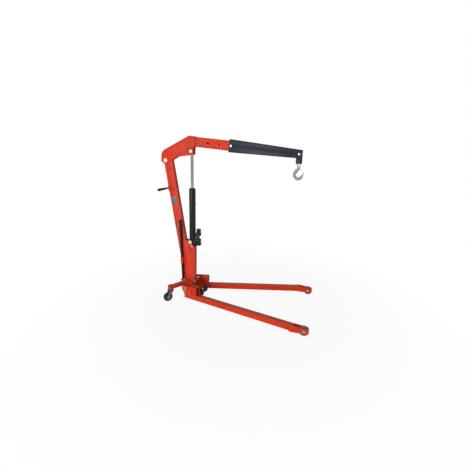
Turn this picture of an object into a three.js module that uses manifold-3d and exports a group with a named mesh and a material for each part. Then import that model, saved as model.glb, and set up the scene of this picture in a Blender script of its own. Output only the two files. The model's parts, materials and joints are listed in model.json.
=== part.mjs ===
// Folding workshop crane: a leaning mast on a wheeled base, a gooseneck boom with a sliding
// sleeve and hook, a hand-pumped ram, and two splayed legs that fold up against the mast.
// Millimetres, +Z up, the boom reaching along +X. The near side is -Y.
import * as THREE from 'three';
import Module from 'manifold-3d';
import { mergeVertices } from 'three/addons/utils/BufferGeometryUtils.js';

const wasm = await Module();
wasm.setup();

const { degToRad } = THREE.MathUtils;

// Clearances shared by the pieces
const seatGap = 0.3;
const pinPlay = 0.5;
const slideGap = 0.8;
const weldLap = 1;
const cutOverrun = 20;
const nutHeightShare = 0.8;

// Places seen from the side: the boom's pivot stands over x = 0
const boomPivotHeight = 1490;
const boomDroop = degToRad(6.6);
const mastLean = degToRad(7.27);
const pivotBehindMastAxis = 27;
const ramPivotX = 232.5;
const ramPivotHeight = 636;

// Mast tube and the column cheeks that widen it at the foot
const mastDepth = 94;
const mastWidth = 42;
const mastWall = 4;
const mastHeadRise = 24;
const mastHeadRound = 14;
const cheekThickness = 5;
const cheekTopRise = 26;
const cheekShoulderDrop = 36;
const cheekFrontTop = 287;
const cheekFrontFoot = 268;
const cheekShoulderRound = 14;
const ramEarRadius = 24;
const columnWebThickness = 5;
const footThickness = 8;
const footRear = 112;
const footFront = 292;
const footHalfWidth = 66;
const footRound = 10;
const footBoltRadius = 6;
const footBoltInset = 14;

// Base crossbeam, a folded channel open below
const beamRear = 140;
const beamFront = 268;
const beamTop = 190;
const beamBottom = 100;
const beamWall = 6;

// Splayed legs and the brackets that hold them
const legSplay = degToRad(12.92);
const legPivotX = 215;
const legPivotY = 124.2;
const legPivotHeight = 146;
const legWidth = 50;
const legHeight = 60;
const legWall = 3.5;
const legBottom = 31;
const legTail = 18;
const legLength = 1219;
const legCheekThickness = 5;
const legCheekLobe = 24;
const legLockAhead = 90;
const legLockDrop = 20;
const legBoxRear = 62;
const legBoxFront = 150;
const legBoxPlate = 5;
const legBoltRadius = 10;
const legBoltHead = 16;
const legBoltHeadHeight = 8;
const bracketPlate = 6;
const bracketRear = 38;
const bracketReach = 154;
const bracketTop = 182;
const bracketBottom = 103;
const bracketEar = 30;
const bracketRound = 14;

// Lock plungers, drawn back at rest
const plungerRadius = 8;
const plungerTravel = 13;
const plungerBossRadius = 14;
const plungerBossHeight = 6;
const plungerKnobRadius = 11;
const plungerKnobHeight = 6;
const plungerTip = 2;

// Front forks and wheels
const frontWheelRadius = 46;
const frontWheelWidth = 34;
const frontForkPlate = 5;
const frontForkSideGap = 3;
const frontForkDrop = 5;
const frontForkRoot = 44;
const frontForkKink = 22;
const frontAxleAhead = 88;
const frontForkNose = 44;
const frontForkNoseDrop = 18;
const frontForkRise = 1;
const frontForkNoseRound = 20;
const frontForkHeelRound = 6;
const frontForkWeb = 6;
const wheelAxleRadius = 8;
const hubWall = 7;
const treadDepth = 13;
const treadRound = 6;
const webDish = 5;
const axleHeadRadius = 12;
const axleHeadHeight = 6;

// Middle wheels on forks ahead of the crossbeam. They clear the floor until the legs are folded up.
const middleWheelRadius = 50;
const middleWheelWidth = 28;
const middleWheelX = 338;
const middleWheelY = 54;
const middleAxleHeight = 72;
const middleForkFoot = 112;
const middleForkTop = 166;
const middleForkRise = 26;
const middleForkRound = 8;
const middleForkPlate = 4;
const middleForkGap = 2.5;
const middleForkLobe = 13;
const middleAxleRadius = 6;
const middleAxleHead = 9;
const middleAxleHeadHeight = 3.5;

// Rear arms and swivel casters
const armWidth = 40;
const armHeight = 40;
const armWall = 3;
const armRootX = 152;
const armRootY = 64;
const armRootHeight = 166;
const casterPivotX = 50;
const casterPivotY = 185;
const armTipHeight = 154;
const casterBossRadius = 27;
const casterBossBottom = 133;
const casterBossTop = 175;
const rearWheelRadius = 50;
const rearWheelWidth = 32;
const casterTrail = 34;
const casterHeading = degToRad(232);
const casterForkPlate = 4;
const casterForkGap = 3;
const casterForkRise = 12;
const casterCrownThickness = 6;
const casterCrownRadius = 28;
const casterForkNeck = 26;
const casterForkLobe = 13;
const kingpinRadius = 8;
const kingpinHead = 13;
const kingpinHeadHeight = 8;
const kingpinNutHeight = 5;

// Boom: gooseneck cheeks folded over the rear end of a square tube
const neckThickness = 5;
const boomTubeWidth = 46;
const boomTubeHeight = 92;
const boomTubeWall = 4;
const boomTubeRound = 8;
const boomTubeAxis = 213;
const boomTubeRear = 262;
const neckRear = 47;
const neckHeelLow = 12;
const neckHeelAhead = 4;
const neckHeelDrop = 36;
const neckArchU = 132;
const neckArchV = 55;
const neckArchRound = 44;
const neckToeU = 304;
const neckToeV = 91;
const neckToeRound = 12;
const neckStepU = 300;
const neckStepV = 158;
const neckSeamU = 315;
const neckSeamV = 166;
const neckFrontU = 308;
const neckCrownRear = 246;
const neckCrownRound = 22;
const neckShoulderV = 86.7;
const neckShoulderRound = 60;
const ramTopU = 277.4;
const ramTopV = 120.4;
const boomHolePitch = 120;
const boomHoleCount = 3;
const firstBoomHole = 448;
const boomHoleRadius = 9;
const boomTubeNose = 29;
const boomBoltRadius = 12;
const boomBoltHead = 18;
const boomBoltHeadHeight = 8;

// Tapered sleeve that slides over the boom tube
const sleeveWall = 3;
const sleeveBehindHole = 26;
const sleeveLength = 677;
const sleeveTopTaper = degToRad(2.21);
const sleeveFloorTaper = degToRad(1.83);
const sleeveTopRound = 17;
const sleeveTipRound = 6;
const sleeveFloorRound = 5;
const tipPinBehindEnd = 25;
const tipPinV = 209.5;
const tipPinRadius = 8;
const tipPinHead = 11;
const tipPinHeadHeight = 4;

// Shackle plates, hook and safety latch
const yokeWidth = 54;
const yokeThickness = 6;
const yokePinDrop = 58;
const yokeFoot = 24;
const yokeFootRound = 9;
const yokePinRadius = 7;
const yokePinShoulder = 12;
const yokePinHead = 10;
const yokePinHeadHeight = 3;
const hookEyeWidth = 38;
const hookEyeBore = 18;
const hookEyeWaist = 36;
const hookEyeWaistDrop = 30;
const hookSlotWaistDrop = 20;
const hookSlotFoot = 8;
const hookSlotFootDrop = 52;
const hookSlotRound = 3;
const hookNeckWidth = 24;
const hookNeckDrop = 66;
const hookNeckLength = 20;
const hookThickness = 17;
const hookDrop = 119;
const hookBowl = 27;
const hookGirth = 17;
const latchPivotX = 17;
const latchPivotRise = 46;
const latchThickness = 2.5;
const latchWidth = 13;
const latchEarThickness = 2;
const latchEarRadius = 5;
const latchEarReach = 15;
const latchPinRadius = 2;
const latchLugThickness = 7;

// Ram
const ramAxisAhead = 20;
const cylinderRadius = 34;
const cylinderWall = 7;
const cylinderFoot = 30;
const cylinderLength = 552;
const cylinderShoulder = 14;
const glandLength = 32;
const cylinderFloor = 14;
const rodRadius = 15.5;
const rodEyeRadius = 17;
const pistonRadius = 24.4;
const pistonLength = 34;
const rodInside = 275;
const ramLugWidth = 40;
const ramBlockFront = 40;
const ramPinRadius = 12;
const ramPinHead = 18;
const ramPinHeadHeight = 9;
const fillerHeight = 428;
const fillerRadius = 7;
const fillerBoss = 4;

// Pump unit ahead of the cylinder
const pumpDepth = 52;
const pumpWidth = 46;
const pumpBottom = 26;
const pumpTop = 40;
const pumpRound = 8;
const pumpBarrelRadius = 18;
const pumpBarrelTop = 50;
const pumpBarrelAhead = 74;
const pumpPlungerRadius = 8;
const pumpPlungerEye = 9;
const pumpPlungerFoot = 16;
const pumpStroke = 22;
const pumpNeckGap = 3;
const pumpLinkHeight = 94;
const pumpLugAhead = 50;
const pumpLugThickness = 12;
const pumpLugRadius = 12;
const socketCheek = 4;
const socketCheekRadius = 15;
const socketPinRadius = 5;
const socketSlotRun = 8;
const socketSlotHalf = 6.8;
const socketBridgeRise = 16;
const socketBridgeDepth = 10;
const socketTubeRadius = 24;
const socketTubeBore = 13.3;
const socketTubeLength = 34;
const socketTubeAhead = 71;
const socketPinHeadHeight = 2.5;
const valveHeight = -14;
const valveStemRadius = 5;
const valveStemLength = 9;
const valveKnobRadius = 9;
const valveKnobLength = 6;
const valveWingReach = 15;
const valveWingLength = 9;

// Pump lever stored upright against the near side of the column
const leverRadius = 12.5;
const leverWall = 2.5;
const leverX = 136;
const leverLength = 676;
const leverGripLength = 134;
const leverGripTop = 16;
const leverGripFoot = 13.8;
const leverGripDome = 8;
const leverGripTaper = 47;
const holderHeight = 72;
const holderFoot = 396;
const holderWall = 3.5;
const holderPad = 34;

// Push bar behind the mast
const pushBarRadius = 9;
const pushBarHeight = 1211;
const pushBarHalfLength = 194;
const pushGripLength = 126;
const pushGripRadius = 14;
const pushGripNeck = 11;
const pushGripEnd = 5;
const pushGripCollar = 15;
const pushGripTaper = 70;
const pushSaddleHeight = 60;
const pushSaddleThickness = 5;

// Facets
const roundFacets = 20;
const wheelFacets = 26;
const smallFacets = 12;
const hexFacets = 6;
const filletStep = degToRad(30);
const edgeStep = degToRad(90);
const edgeRound = 6;
const nearSide = -1;
const farSide = 1;
const bothSides = [nearSide, farSide];

const X = new THREE.Vector3(1, 0, 0);
const Y = new THREE.Vector3(0, 1, 0);
const Z = new THREE.Vector3(0, 0, 1);

// Paints and metals
function paint(color, roughness, metalness) {
  return new THREE.MeshStandardMaterial({ color, roughness, metalness });
}
const redPaint = () => paint('#d63d22', 0.42, 0.1);
const blackPaint = () => paint('#23262b', 0.38, 0.1);
const zinc = () => paint('#c9c8bd', 0.35, 0.9);
const chrome = () => paint('#c4c4cc', 0.14, 1);
const galvanised = () => paint('#9aa1a8', 0.45, 0.85);
const rubber = () => paint('#1b1b1d', 0.8, 0);
const nylon = () => paint('#202226', 0.55, 0);

// Outlines in a plane: a corner is [across, up, round]
function roundedOutline(corners, arcStep = null) {
  const points = [];
  corners.forEach(([across, up, round = 0], i) => {
    const corner = new THREE.Vector2(across, up);
    if (round === 0) {
      points.push(corner);
      return;
    }
    const previous = new THREE.Vector2(...corners.at(i - 1).slice(0, 2)).sub(corner).normalize();
    const next = new THREE.Vector2(...corners[(i + 1) % corners.length].slice(0, 2)).sub(corner).normalize();
    const half = Math.acos(previous.dot(next)) / 2;
    const centre = previous.clone().add(next).normalize().multiplyScalar(round / Math.sin(half)).add(corner);
    const start = corner.clone().addScaledVector(previous, round / Math.tan(half)).sub(centre).angle();
    const sweep = -Math.sign(previous.cross(next)) * (Math.PI - 2 * half);
    const widest = arcStep ?? (round > edgeRound ? filletStep : edgeStep);
    const steps = Math.max(1, Math.ceil(Math.abs(sweep) / widest));
    for (let step = 0; step <= steps; step += 1) {
      const angle = start + sweep * step / steps;
      points.push(new THREE.Vector2(Math.cos(angle), Math.sin(angle)).multiplyScalar(round).add(centre));
    }
  });
  return points;
}

function circle(across, up, radius, facets = roundFacets) {
  return Array.from({ length: facets }, (_, i) => {
    const angle = 2 * Math.PI * i / facets;
    return new THREE.Vector2(across + radius * Math.cos(angle), up + radius * Math.sin(angle));
  });
}

// Moves each side of a polygon in by its own distance; side i runs from corner i to the next
function insetCorners(corners, insets) {
  const lines = corners.map(([across, up], i) => {
    const [nextAcross, nextUp] = corners[(i + 1) % corners.length];
    const along = new THREE.Vector2(nextAcross - across, nextUp - up).normalize();
    const inward = new THREE.Vector2(-along.y, along.x);
    return { point: new THREE.Vector2(across, up).addScaledVector(inward, insets[i]), along };
  });
  return lines.map((line, i) => {
    const before = lines.at(i - 1);
    const offset = line.point.clone().sub(before.point);
    const reach = offset.cross(line.along) / before.along.cross(line.along);
    return before.point.clone().addScaledVector(before.along, reach).toArray();
  });
}

// Straight prisms of an outline, placed by the plane it is drawn in
function prism(points, depth, origin, across, up) {
  const geometry = new THREE.ExtrudeGeometry(new THREE.Shape(points), { depth, bevelEnabled: false });
  const frame = new THREE.Matrix4().makeBasis(across, up, across.clone().cross(up));
  return geometry.applyMatrix4(frame.setPosition(origin));
}
function sideProfile(points, yLow, yHigh) {
  return prism(points, yHigh - yLow, Y.clone().multiplyScalar(yHigh), X, Z);
}
// The same for a plate between two distances from the middle plane, on the near or the far side of it
function sidePlate(points, side, from, to) {
  return sideProfile(points, Math.min(side * from, side * to), Math.max(side * from, side * to));
}
function planProfile(points, zLow, zHigh) {
  return prism(points, zHigh - zLow, Z.clone().multiplyScalar(zLow), X, Y);
}
function frontProfile(points, xLow, xHigh) {
  return prism(points, xHigh - xLow, X.clone().multiplyScalar(xLow), Y, Z);
}
function rectangle(acrossLow, acrossHigh, upLow, upHigh, round = 0) {
  return roundedOutline([[acrossLow, upLow, round], [acrossHigh, upLow, round],
    [acrossHigh, upHigh, round], [acrossLow, upHigh, round]]);
}
function pinHole(x, z, radius, halfLength) {
  return sideProfile(circle(x, z, radius), -halfLength, halfLength);
}

// Turned pieces about Y: the profile of [radius, along, round] runs up the outside
function turned(profile, facets = roundFacets) {
  return new THREE.LatheGeometry(roundedOutline(profile), facets);
}
function upright(geometry) {
  return geometry.rotateX(Math.PI / 2);
}

// A skin through rings of points with flat ends
function loft(rings) {
  const count = rings[0].length;
  const corners = rings.flat();
  const faces = [];
  for (let ring = 0; ring + 1 < rings.length; ring += 1) {
    for (let i = 0; i < count; i += 1) {
      const a = ring * count + i;
      const b = ring * count + (i + 1) % count;
      faces.push(a, b, b + count, a, b + count, a + count);
    }
  }
  const last = (rings.length - 1) * count;
  for (let i = 1; i + 1 < count; i += 1) {
    faces.push(0, i + 1, i, last, last + i, last + i + 1);
  }
  const geometry = new THREE.BufferGeometry().setFromPoints(corners);
  geometry.setIndex(faces);
  return geometry;
}

// Joining and cutting closed solids
function toSolid(geometry) {
  const bare = geometry.clone();
  bare.deleteAttribute('normal');
  bare.deleteAttribute('uv');
  const merged = mergeVertices(bare);
  const triangles = [];
  const { array } = merged.index;
  for (let i = 0; i < array.length; i += 3) {
    const [a, b, c] = [array[i], array[i + 1], array[i + 2]];
    if (a !== b && b !== c && c !== a) triangles.push(a, b, c);
  }
  return new wasm.Manifold(new wasm.Mesh({
    numProp: 3,
    vertProperties: Float32Array.from(merged.attributes.position.array),
    triVerts: Uint32Array.from(triangles),
  }));
}
function toGeometry(solid) {
  const mesh = solid.getMesh();
  const geometry = new THREE.BufferGeometry();
  geometry.setAttribute('position', new THREE.BufferAttribute(Float32Array.from(mesh.vertProperties), 3));
  geometry.setIndex(Array.from(mesh.triVerts));
  return geometry;
}
function join(...geometries) {
  return toGeometry(geometries.map(toSolid).reduce((whole, piece) => whole.add(piece)));
}
function cut(geometry, ...tools) {
  return toGeometry(tools.map(toSolid).reduce((whole, tool) => whole.subtract(tool), toSolid(geometry)));
}
function piece(name, geometry, material) {
  const faceted = geometry.index ? geometry.toNonIndexed() : geometry;
  faceted.computeVertexNormals();
  const mesh = new THREE.Mesh(faceted, material);
  mesh.name = name;
  return mesh;
}
function sideName(side) {
  return side === nearSide ? 'near' : 'far';
}

// A bolt along Y through plates from -half to +half, head on the outer side, nut on the other
function throughBolt(radius, half, headRadius, headHeight, outer = nearSide) {
  const shank = new THREE.CylinderGeometry(radius, radius, 2 * (half + weldLap), roundFacets);
  const head = new THREE.CylinderGeometry(headRadius, headRadius, headHeight, hexFacets);
  head.translate(0, outer * (half + headHeight / 2), 0);
  const nutHeight = headHeight * nutHeightShare;
  const nut = new THREE.CylinderGeometry(headRadius, headRadius, nutHeight, hexFacets);
  nut.translate(0, -outer * (half + nutHeight / 2), 0);
  return join(shank, head, nut);
}

// A wheel about Y with a rounded tread, a dished web and a hub as wide as the tread
function wheel(radius, width, boreRadius) {
  const half = width / 2;
  const hub = boreRadius + hubWall;
  const rim = radius - treadDepth;
  const upper = [
    [boreRadius, half], [hub, half], [hub + webDish, half - webDish], [rim, half - webDish],
    [rim + webDish, half], [radius, half, treadRound],
  ];
  const lower = upper.map(([reach, along, round = 0]) => [reach, -along, round]);
  return turned([...lower, ...upper.reverse(), lower[0]], wheelFacets);
}

// The mast's own directions, seen from the side: a point is so far ahead of the axis and above the pivot
function mastPoint(ahead, rise, round = 0) {
  const across = pivotBehindMastAxis + ahead;
  return [across * Math.cos(mastLean) - rise * Math.sin(mastLean),
    boomPivotHeight + across * Math.sin(mastLean) + rise * Math.cos(mastLean), round];
}
const cheekTop = ramPivotHeight + cheekTopRise;
const cheekShoulderHeight = ramPivotHeight - cheekShoulderDrop;

function mastX(ahead, height) {
  return (pivotBehindMastAxis + ahead) / Math.cos(mastLean)
    + (boomPivotHeight - height) * Math.tan(mastLean);
}

const footTop = beamTop + seatGap + footThickness;
const mastSide = mastWidth / 2;
const cheekSide = mastSide + cheekThickness;

// Mast tube, column cheeks, front web and foot plate, welded into one
function mastSolid() {
  const front = mastDepth / 2;
  const tube = sideProfile(roundedOutline([
    [mastX(-front, footTop - weldLap), footTop - weldLap],
    [mastX(front, footTop - weldLap), footTop - weldLap],
    mastPoint(front, mastHeadRise, mastHeadRound), mastPoint(-front, mastHeadRise, mastHeadRound),
  ]), -mastSide, mastSide);
  const inside = front - mastWall;
  const bore = sideProfile(roundedOutline([
    [mastX(-inside, footTop), footTop], [mastX(inside, footTop), footTop],
    mastPoint(inside, mastHeadRise + cutOverrun), mastPoint(-inside, mastHeadRise + cutOverrun),
  ]), mastWall - mastSide, mastSide - mastWall);

  const shoulderRear = ramPivotX + ramEarRadius;
  const cheekOutline = roundedOutline([
    [mastX(-front + mastWall, footTop - weldLap), footTop - weldLap],
    [cheekFrontFoot, footTop - weldLap],
    [cheekFrontTop, cheekShoulderHeight, cheekShoulderRound],
    [shoulderRear, cheekShoulderHeight + cheekThickness, cheekShoulderRound],
    [shoulderRear - cheekThickness, ramPivotHeight],
    [ramPivotX, ramPivotHeight + ramEarRadius / 2],
    [mastX(front, cheekTop), cheekTop],
    [mastX(mastWall - front, cheekTop), cheekTop],
  ]);
  const cheeks = bothSides.map((side) => {
    const outlines = [cheekOutline, circle(ramPivotX, ramPivotHeight, ramEarRadius)];
    return join(...outlines.map((outline) => sidePlate(outline, side, mastSide - weldLap, cheekSide)));
  });
  const webTop = cheekShoulderHeight - cheekShoulderRound;
  const webFront = (height) => cheekFrontFoot
    + (cheekFrontTop - cheekFrontFoot) * (height - footTop) / (cheekShoulderHeight - footTop);
  const web = sideProfile(roundedOutline([
    [webFront(footTop) - columnWebThickness, footTop - weldLap], [webFront(footTop), footTop - weldLap],
    [webFront(webTop), webTop], [webFront(webTop) - columnWebThickness, webTop],
  ]), -mastSide - weldLap / 2, mastSide + weldLap / 2);

  const foot = planProfile(rectangle(footRear, footFront, -footHalfWidth, footHalfWidth, footRound),
    footTop - footThickness, footTop);
  const boltHoles = footBoltPlaces().map(([x, y]) => planProfile(
    circle(x, y, footBoltRadius + pinPlay, smallFacets), footTop - footThickness - cutOverrun,
    footTop + cutOverrun));
  const shell = cut(join(cut(tube, bore), ...cheeks, web, foot), ...boltHoles);
  return cut(shell,
    pinHole(0, boomPivotHeight, boomBoltRadius + pinPlay, cheekSide + cutOverrun),
    pinHole(ramPivotX, ramPivotHeight, ramPinRadius + pinPlay, cheekSide + cutOverrun));
}

function footBoltPlaces() {
  return [footFront - footBoltInset, beamRear + footBoltInset].flatMap((x) => (
    bothSides.map((side) => [x, side * (footHalfWidth - footBoltInset)])));
}

// Half-width of the space between the leg brackets at x, out to a line so far inside the leg's axis
function insideLegAxis(x, inside) {
  return legPivotY + (x - legPivotX) * Math.tan(legSplay) - inside / Math.cos(legSplay);
}
function betweenBrackets(xLow, xHigh, zLow, zHigh, inside) {
  return planProfile([[xLow, nearSide], [xHigh, nearSide], [xHigh, farSide], [xLow, farSide]].map(
    ([x, side]) => new THREE.Vector2(x, side * insideLegAxis(x, inside))), zLow, zHigh);
}

const bracketInner = legWidth / 2 + weldLap;
const bracketOuter = bracketInner + bracketPlate;
const bracketMiddle = (bracketInner + bracketOuter) / 2;

function toLegFrame(geometry, side) {
  return geometry.rotateZ(side * legSplay).translate(legPivotX, side * legPivotY, 0);
}

// One leg bracket: two plates joined by a rear web, with the lock plunger's boss on the outer plate
function bracketSolid(side) {
  const plateOutline = roundedOutline([
    [-bracketRear, bracketBottom, bracketEar], [bracketReach, bracketBottom, bracketRound],
    [bracketReach, bracketTop, bracketRound], [-bracketRear, bracketTop, bracketRound],
  ]);
  const plates = bothSides.map((half) => sidePlate(plateOutline, half, bracketInner, bracketOuter));
  const web = frontProfile(rectangle(-bracketMiddle, bracketMiddle, bracketBottom + bracketEar / 2,
    bracketTop - bracketRound), -bracketRear + weldLap, -bracketRear + weldLap + bracketPlate);
  const boss = sidePlate(circle(legLockAhead, legPivotHeight - legLockDrop, plungerBossRadius), side,
    bracketOuter - weldLap, bracketOuter + plungerBossHeight);
  const holes = [
    pinHole(0, legPivotHeight, legBoltRadius + pinPlay, bracketOuter + cutOverrun),
    pinHole(legLockAhead, legPivotHeight - legLockDrop, plungerRadius + pinPlay, bracketOuter + cutOverrun),
  ];
  return toLegFrame(cut(join(...plates, web, boss), ...holes), side);
}

// A fork's plate between two places on Y, with a round lobe about its axle's hole
function forkPlate(outline, axleX, axleZ, lobe, axle, yOne, yTwo) {
  const [low, high] = [Math.min(yOne, yTwo), Math.max(yOne, yTwo)];
  const plate = join(sideProfile(outline, low, high), sideProfile(circle(axleX, axleZ, lobe), low, high));
  const hole = circle(axleX, axleZ, axle + pinPlay, smallFacets);
  return cut(plate, sideProfile(hole, low - weldLap, high + weldLap));
}

// The two fixed forks of the middle wheels, welded to the crossbeam's front
function middleForks() {
  const inner = middleWheelWidth / 2 + middleForkGap;
  const root = beamFront - weldLap;
  const outline = roundedOutline([
    [root, middleForkFoot], [middleWheelX - middleForkLobe, middleAxleHeight],
    [middleWheelX + middleForkLobe, middleAxleHeight],
    [middleWheelX + middleForkLobe, middleAxleHeight + middleForkRise, middleForkRound],
    [root, middleForkTop],
  ]);
  return bothSides.flatMap((side) => bothSides.map((half) => {
    const middle = side * middleWheelY;
    return forkPlate(outline, middleWheelX, middleAxleHeight, middleForkLobe, middleAxleRadius,
      middle + half * inner, middle + half * (inner + middleForkPlate));
  }));
}

// A rear arm: a box tube sloping down to the caster's swivel boss
function armAxes(side) {
  const root = new THREE.Vector3(armRootX, side * armRootY, armRootHeight);
  const tip = new THREE.Vector3(casterPivotX, side * casterPivotY, armTipHeight);
  const along = tip.clone().sub(root);
  const length = along.length();
  along.normalize();
  const across = Z.clone().cross(along).normalize();
  return { root, length, across, up: along.clone().cross(across), along };
}
function armTube(side, inset, start, end) {
  const { root, across, up, along } = armAxes(side);
  const halfWidth = armWidth / 2 - inset;
  const halfHeight = armHeight / 2 - inset;
  return prism(rectangle(-halfWidth, halfWidth, -halfHeight, halfHeight), end - start,
    root.clone().addScaledVector(along, start), across, up);
}

function baseSolid() {
  const beam = cut(
    betweenBrackets(beamRear, beamFront, beamBottom, beamTop, bracketMiddle),
    betweenBrackets(beamRear + beamWall, beamFront - beamWall, beamBottom - cutOverrun,
      beamTop - beamWall, bracketInner),
  );
  const arms = bothSides.map((side) => armTube(side, 0, 0, armAxes(side).length));
  const armBores = bothSides.map((side) => armTube(side, armWall, -weldLap,
    armAxes(side).length - casterBossRadius));
  const bosses = bothSides.map((side) => planProfile(
    circle(casterPivotX, side * casterPivotY, casterBossRadius), casterBossBottom, casterBossTop));
  const bossBores = bothSides.map((side) => planProfile(
    circle(casterPivotX, side * casterPivotY, kingpinRadius + pinPlay, smallFacets),
    casterBossBottom - cutOverrun, casterBossTop + cutOverrun));
  const boltHoles = footBoltPlaces().filter(([x]) => x < beamFront).map(([x, y]) => planProfile(
    circle(x, y, footBoltRadius + pinPlay, smallFacets), beamTop - cutOverrun, beamTop + cutOverrun));
  const brackets = bothSides.map(bracketSolid);
  const frame = join(beam, ...arms, ...bosses, ...brackets, ...middleForks());
  return cut(frame, ...armBores, ...bossBores, ...boltHoles);
}

// A leg with its boxed root and front fork, drawn along its own axis. The heel's notches lie where the
// lock plunger reaches once the leg stands folded.
function legSolid(side) {
  const top = legBottom + legHeight;
  const halfWidth = legWidth / 2;
  const tube = cut(
    frontProfile(rectangle(-halfWidth, halfWidth, legBottom, top, legWall), -legTail, legLength),
    frontProfile(rectangle(legWall - halfWidth, halfWidth - legWall, legBottom + legWall, top - legWall),
      -legTail - cutOverrun, legLength - frontForkRoot),
  );
  const lockHeight = legPivotHeight - legLockDrop;
  const cheekOutline = roundedOutline([
    [-legTail, top - legWall - weldLap], [legBoxFront, top - legWall - weldLap], [legBoxFront, bracketTop],
    [legBoxRear, bracketTop, legCheekLobe], [0, legPivotHeight + legCheekLobe - weldLap, legCheekLobe],
    [-legTail, legPivotHeight],
  ]);
  const outlines = [cheekOutline, circle(0, legPivotHeight, legCheekLobe)];
  const cheeks = bothSides.map((half) => join(...outlines.map((outline) => (
    sidePlate(outline, half, halfWidth - legCheekThickness, halfWidth)))));
  const lid = frontProfile(rectangle(-halfWidth + weldLap, halfWidth - weldLap, bracketTop - legBoxPlate,
    bracketTop), legBoxRear + legCheekLobe, legBoxFront);
  const holes = [
    pinHole(0, legPivotHeight, legBoltRadius + pinPlay, halfWidth + cutOverrun),
    pinHole(legLockAhead, lockHeight, plungerRadius + pinPlay, halfWidth + cutOverrun),
    pinHole(-legLockDrop, legPivotHeight - legLockAhead, plungerRadius + pinPlay, halfWidth + cutOverrun),
  ];
  return join(cut(join(tube, ...cheeks, lid), ...holes), frontFork(side));
}

// The fork at the leg's tip points straight ahead, so it is turned back by the splay
function frontFork(side) {
  const inner = frontWheelWidth / 2 + frontForkSideGap;
  const outer = inner + frontForkPlate;
  const low = legBottom - frontForkDrop;
  const high = legBottom + legHeight + frontForkRise;
  const rear = -frontForkRoot;
  const nose = frontAxleAhead + frontForkNose;
  const outline = roundedOutline([
    [rear, legBottom + legWall], [-frontForkKink, low], [nose, low, frontForkHeelRound],
    [nose, high - frontForkNoseDrop, frontForkNoseRound], [-frontForkKink, high],
    [rear, legBottom + legHeight - legWall],
  ]);
  const plates = bothSides.map((half) => cut(sidePlate(outline, half, inner, outer),
    pinHole(frontAxleAhead, frontWheelRadius, wheelAxleRadius + pinPlay, outer + cutOverrun)));
  const web = frontProfile(rectangle(-inner - weldLap, inner + weldLap, legBottom, legBottom + legHeight),
    -frontForkWeb, 0);
  return join(...plates, web).rotateZ(-side * legSplay).translate(legLength, 0, 0);
}

// Where the front wheel's axle stands
function frontAxlePlace(side) {
  return new THREE.Vector3(legPivotX + legLength * Math.cos(legSplay) + frontAxleAhead,
    side * (legPivotY + legLength * Math.sin(legSplay)), frontWheelRadius);
}

// A plunger with a knob, drawn back so that its tip stays inside the outer plate; it points along -outer Y
function plungerSolid(outer, plateOuter) {
  const tip = plateOuter - plungerTip;
  const knob = plateOuter + plungerBossHeight + plungerTravel + seatGap;
  const stem = sidePlate(circle(0, 0, plungerRadius, smallFacets), outer, tip, knob + weldLap);
  const cap = turned([
    [0, knob], [plungerKnobRadius, knob, weldLap], [plungerKnobRadius, knob + plungerKnobHeight, weldLap],
    [0, knob + plungerKnobHeight],
  ], smallFacets);
  if (outer === nearSide) cap.rotateX(Math.PI);
  return join(stem, cap);
}

function casterForkSolid() {
  const inner = rearWheelWidth / 2 + casterForkGap;
  const crownTop = casterBossBottom - seatGap;
  const crownBottom = crownTop - casterCrownThickness;
  const outline = roundedOutline([
    [casterTrail - casterForkLobe, rearWheelRadius], [casterTrail + casterForkLobe, rearWheelRadius],
    [casterForkNeck, crownBottom - casterForkRise], [casterForkNeck, crownTop - weldLap],
    [-casterForkNeck, crownTop - weldLap], [-casterForkNeck, crownBottom - casterForkRise],
  ]);
  const plates = bothSides.map((half) => forkPlate(outline, casterTrail, rearWheelRadius, casterForkLobe,
    wheelAxleRadius, half * inner, half * (inner + casterForkPlate)));
  const crown = planProfile(circle(0, 0, casterCrownRadius), crownBottom, crownTop);
  const bore = planProfile(circle(0, 0, kingpinRadius + pinPlay, smallFacets),
    crownBottom - cutOverrun, crownTop + cutOverrun);
  return cut(join(...plates, crown), bore);
}

function kingpinSolid() {
  const headSeat = casterBossTop + seatGap;
  const nutSeat = casterBossBottom - seatGap - casterCrownThickness - seatGap;
  const shank = planProfile(circle(0, 0, kingpinRadius, smallFacets), nutSeat - kingpinNutHeight,
    headSeat + weldLap);
  const head = planProfile(circle(0, 0, kingpinHead, hexFacets), headSeat, headSeat + kingpinHeadHeight);
  const nut = planProfile(circle(0, 0, kingpinHead, hexFacets), nutSeat - kingpinNutHeight, nutSeat);
  return join(shank, head, nut);
}

// Boom, drawn in its own frame: u along the tube, v square to it, from the rear pivot
const tubeTop = boomTubeAxis + boomTubeHeight / 2;
const tubeFloor = boomTubeAxis - boomTubeHeight / 2;
const neckCrown = tubeTop + neckThickness - weldLap;
const neckInner = boomTubeWidth / 2 - weldLap;
const neckOuter = neckInner + neckThickness;
const lastBoomHole = firstBoomHole + boomHolePitch * (boomHoleCount - 1);
const boomTubeFront = lastBoomHole + boomTubeNose;

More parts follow.
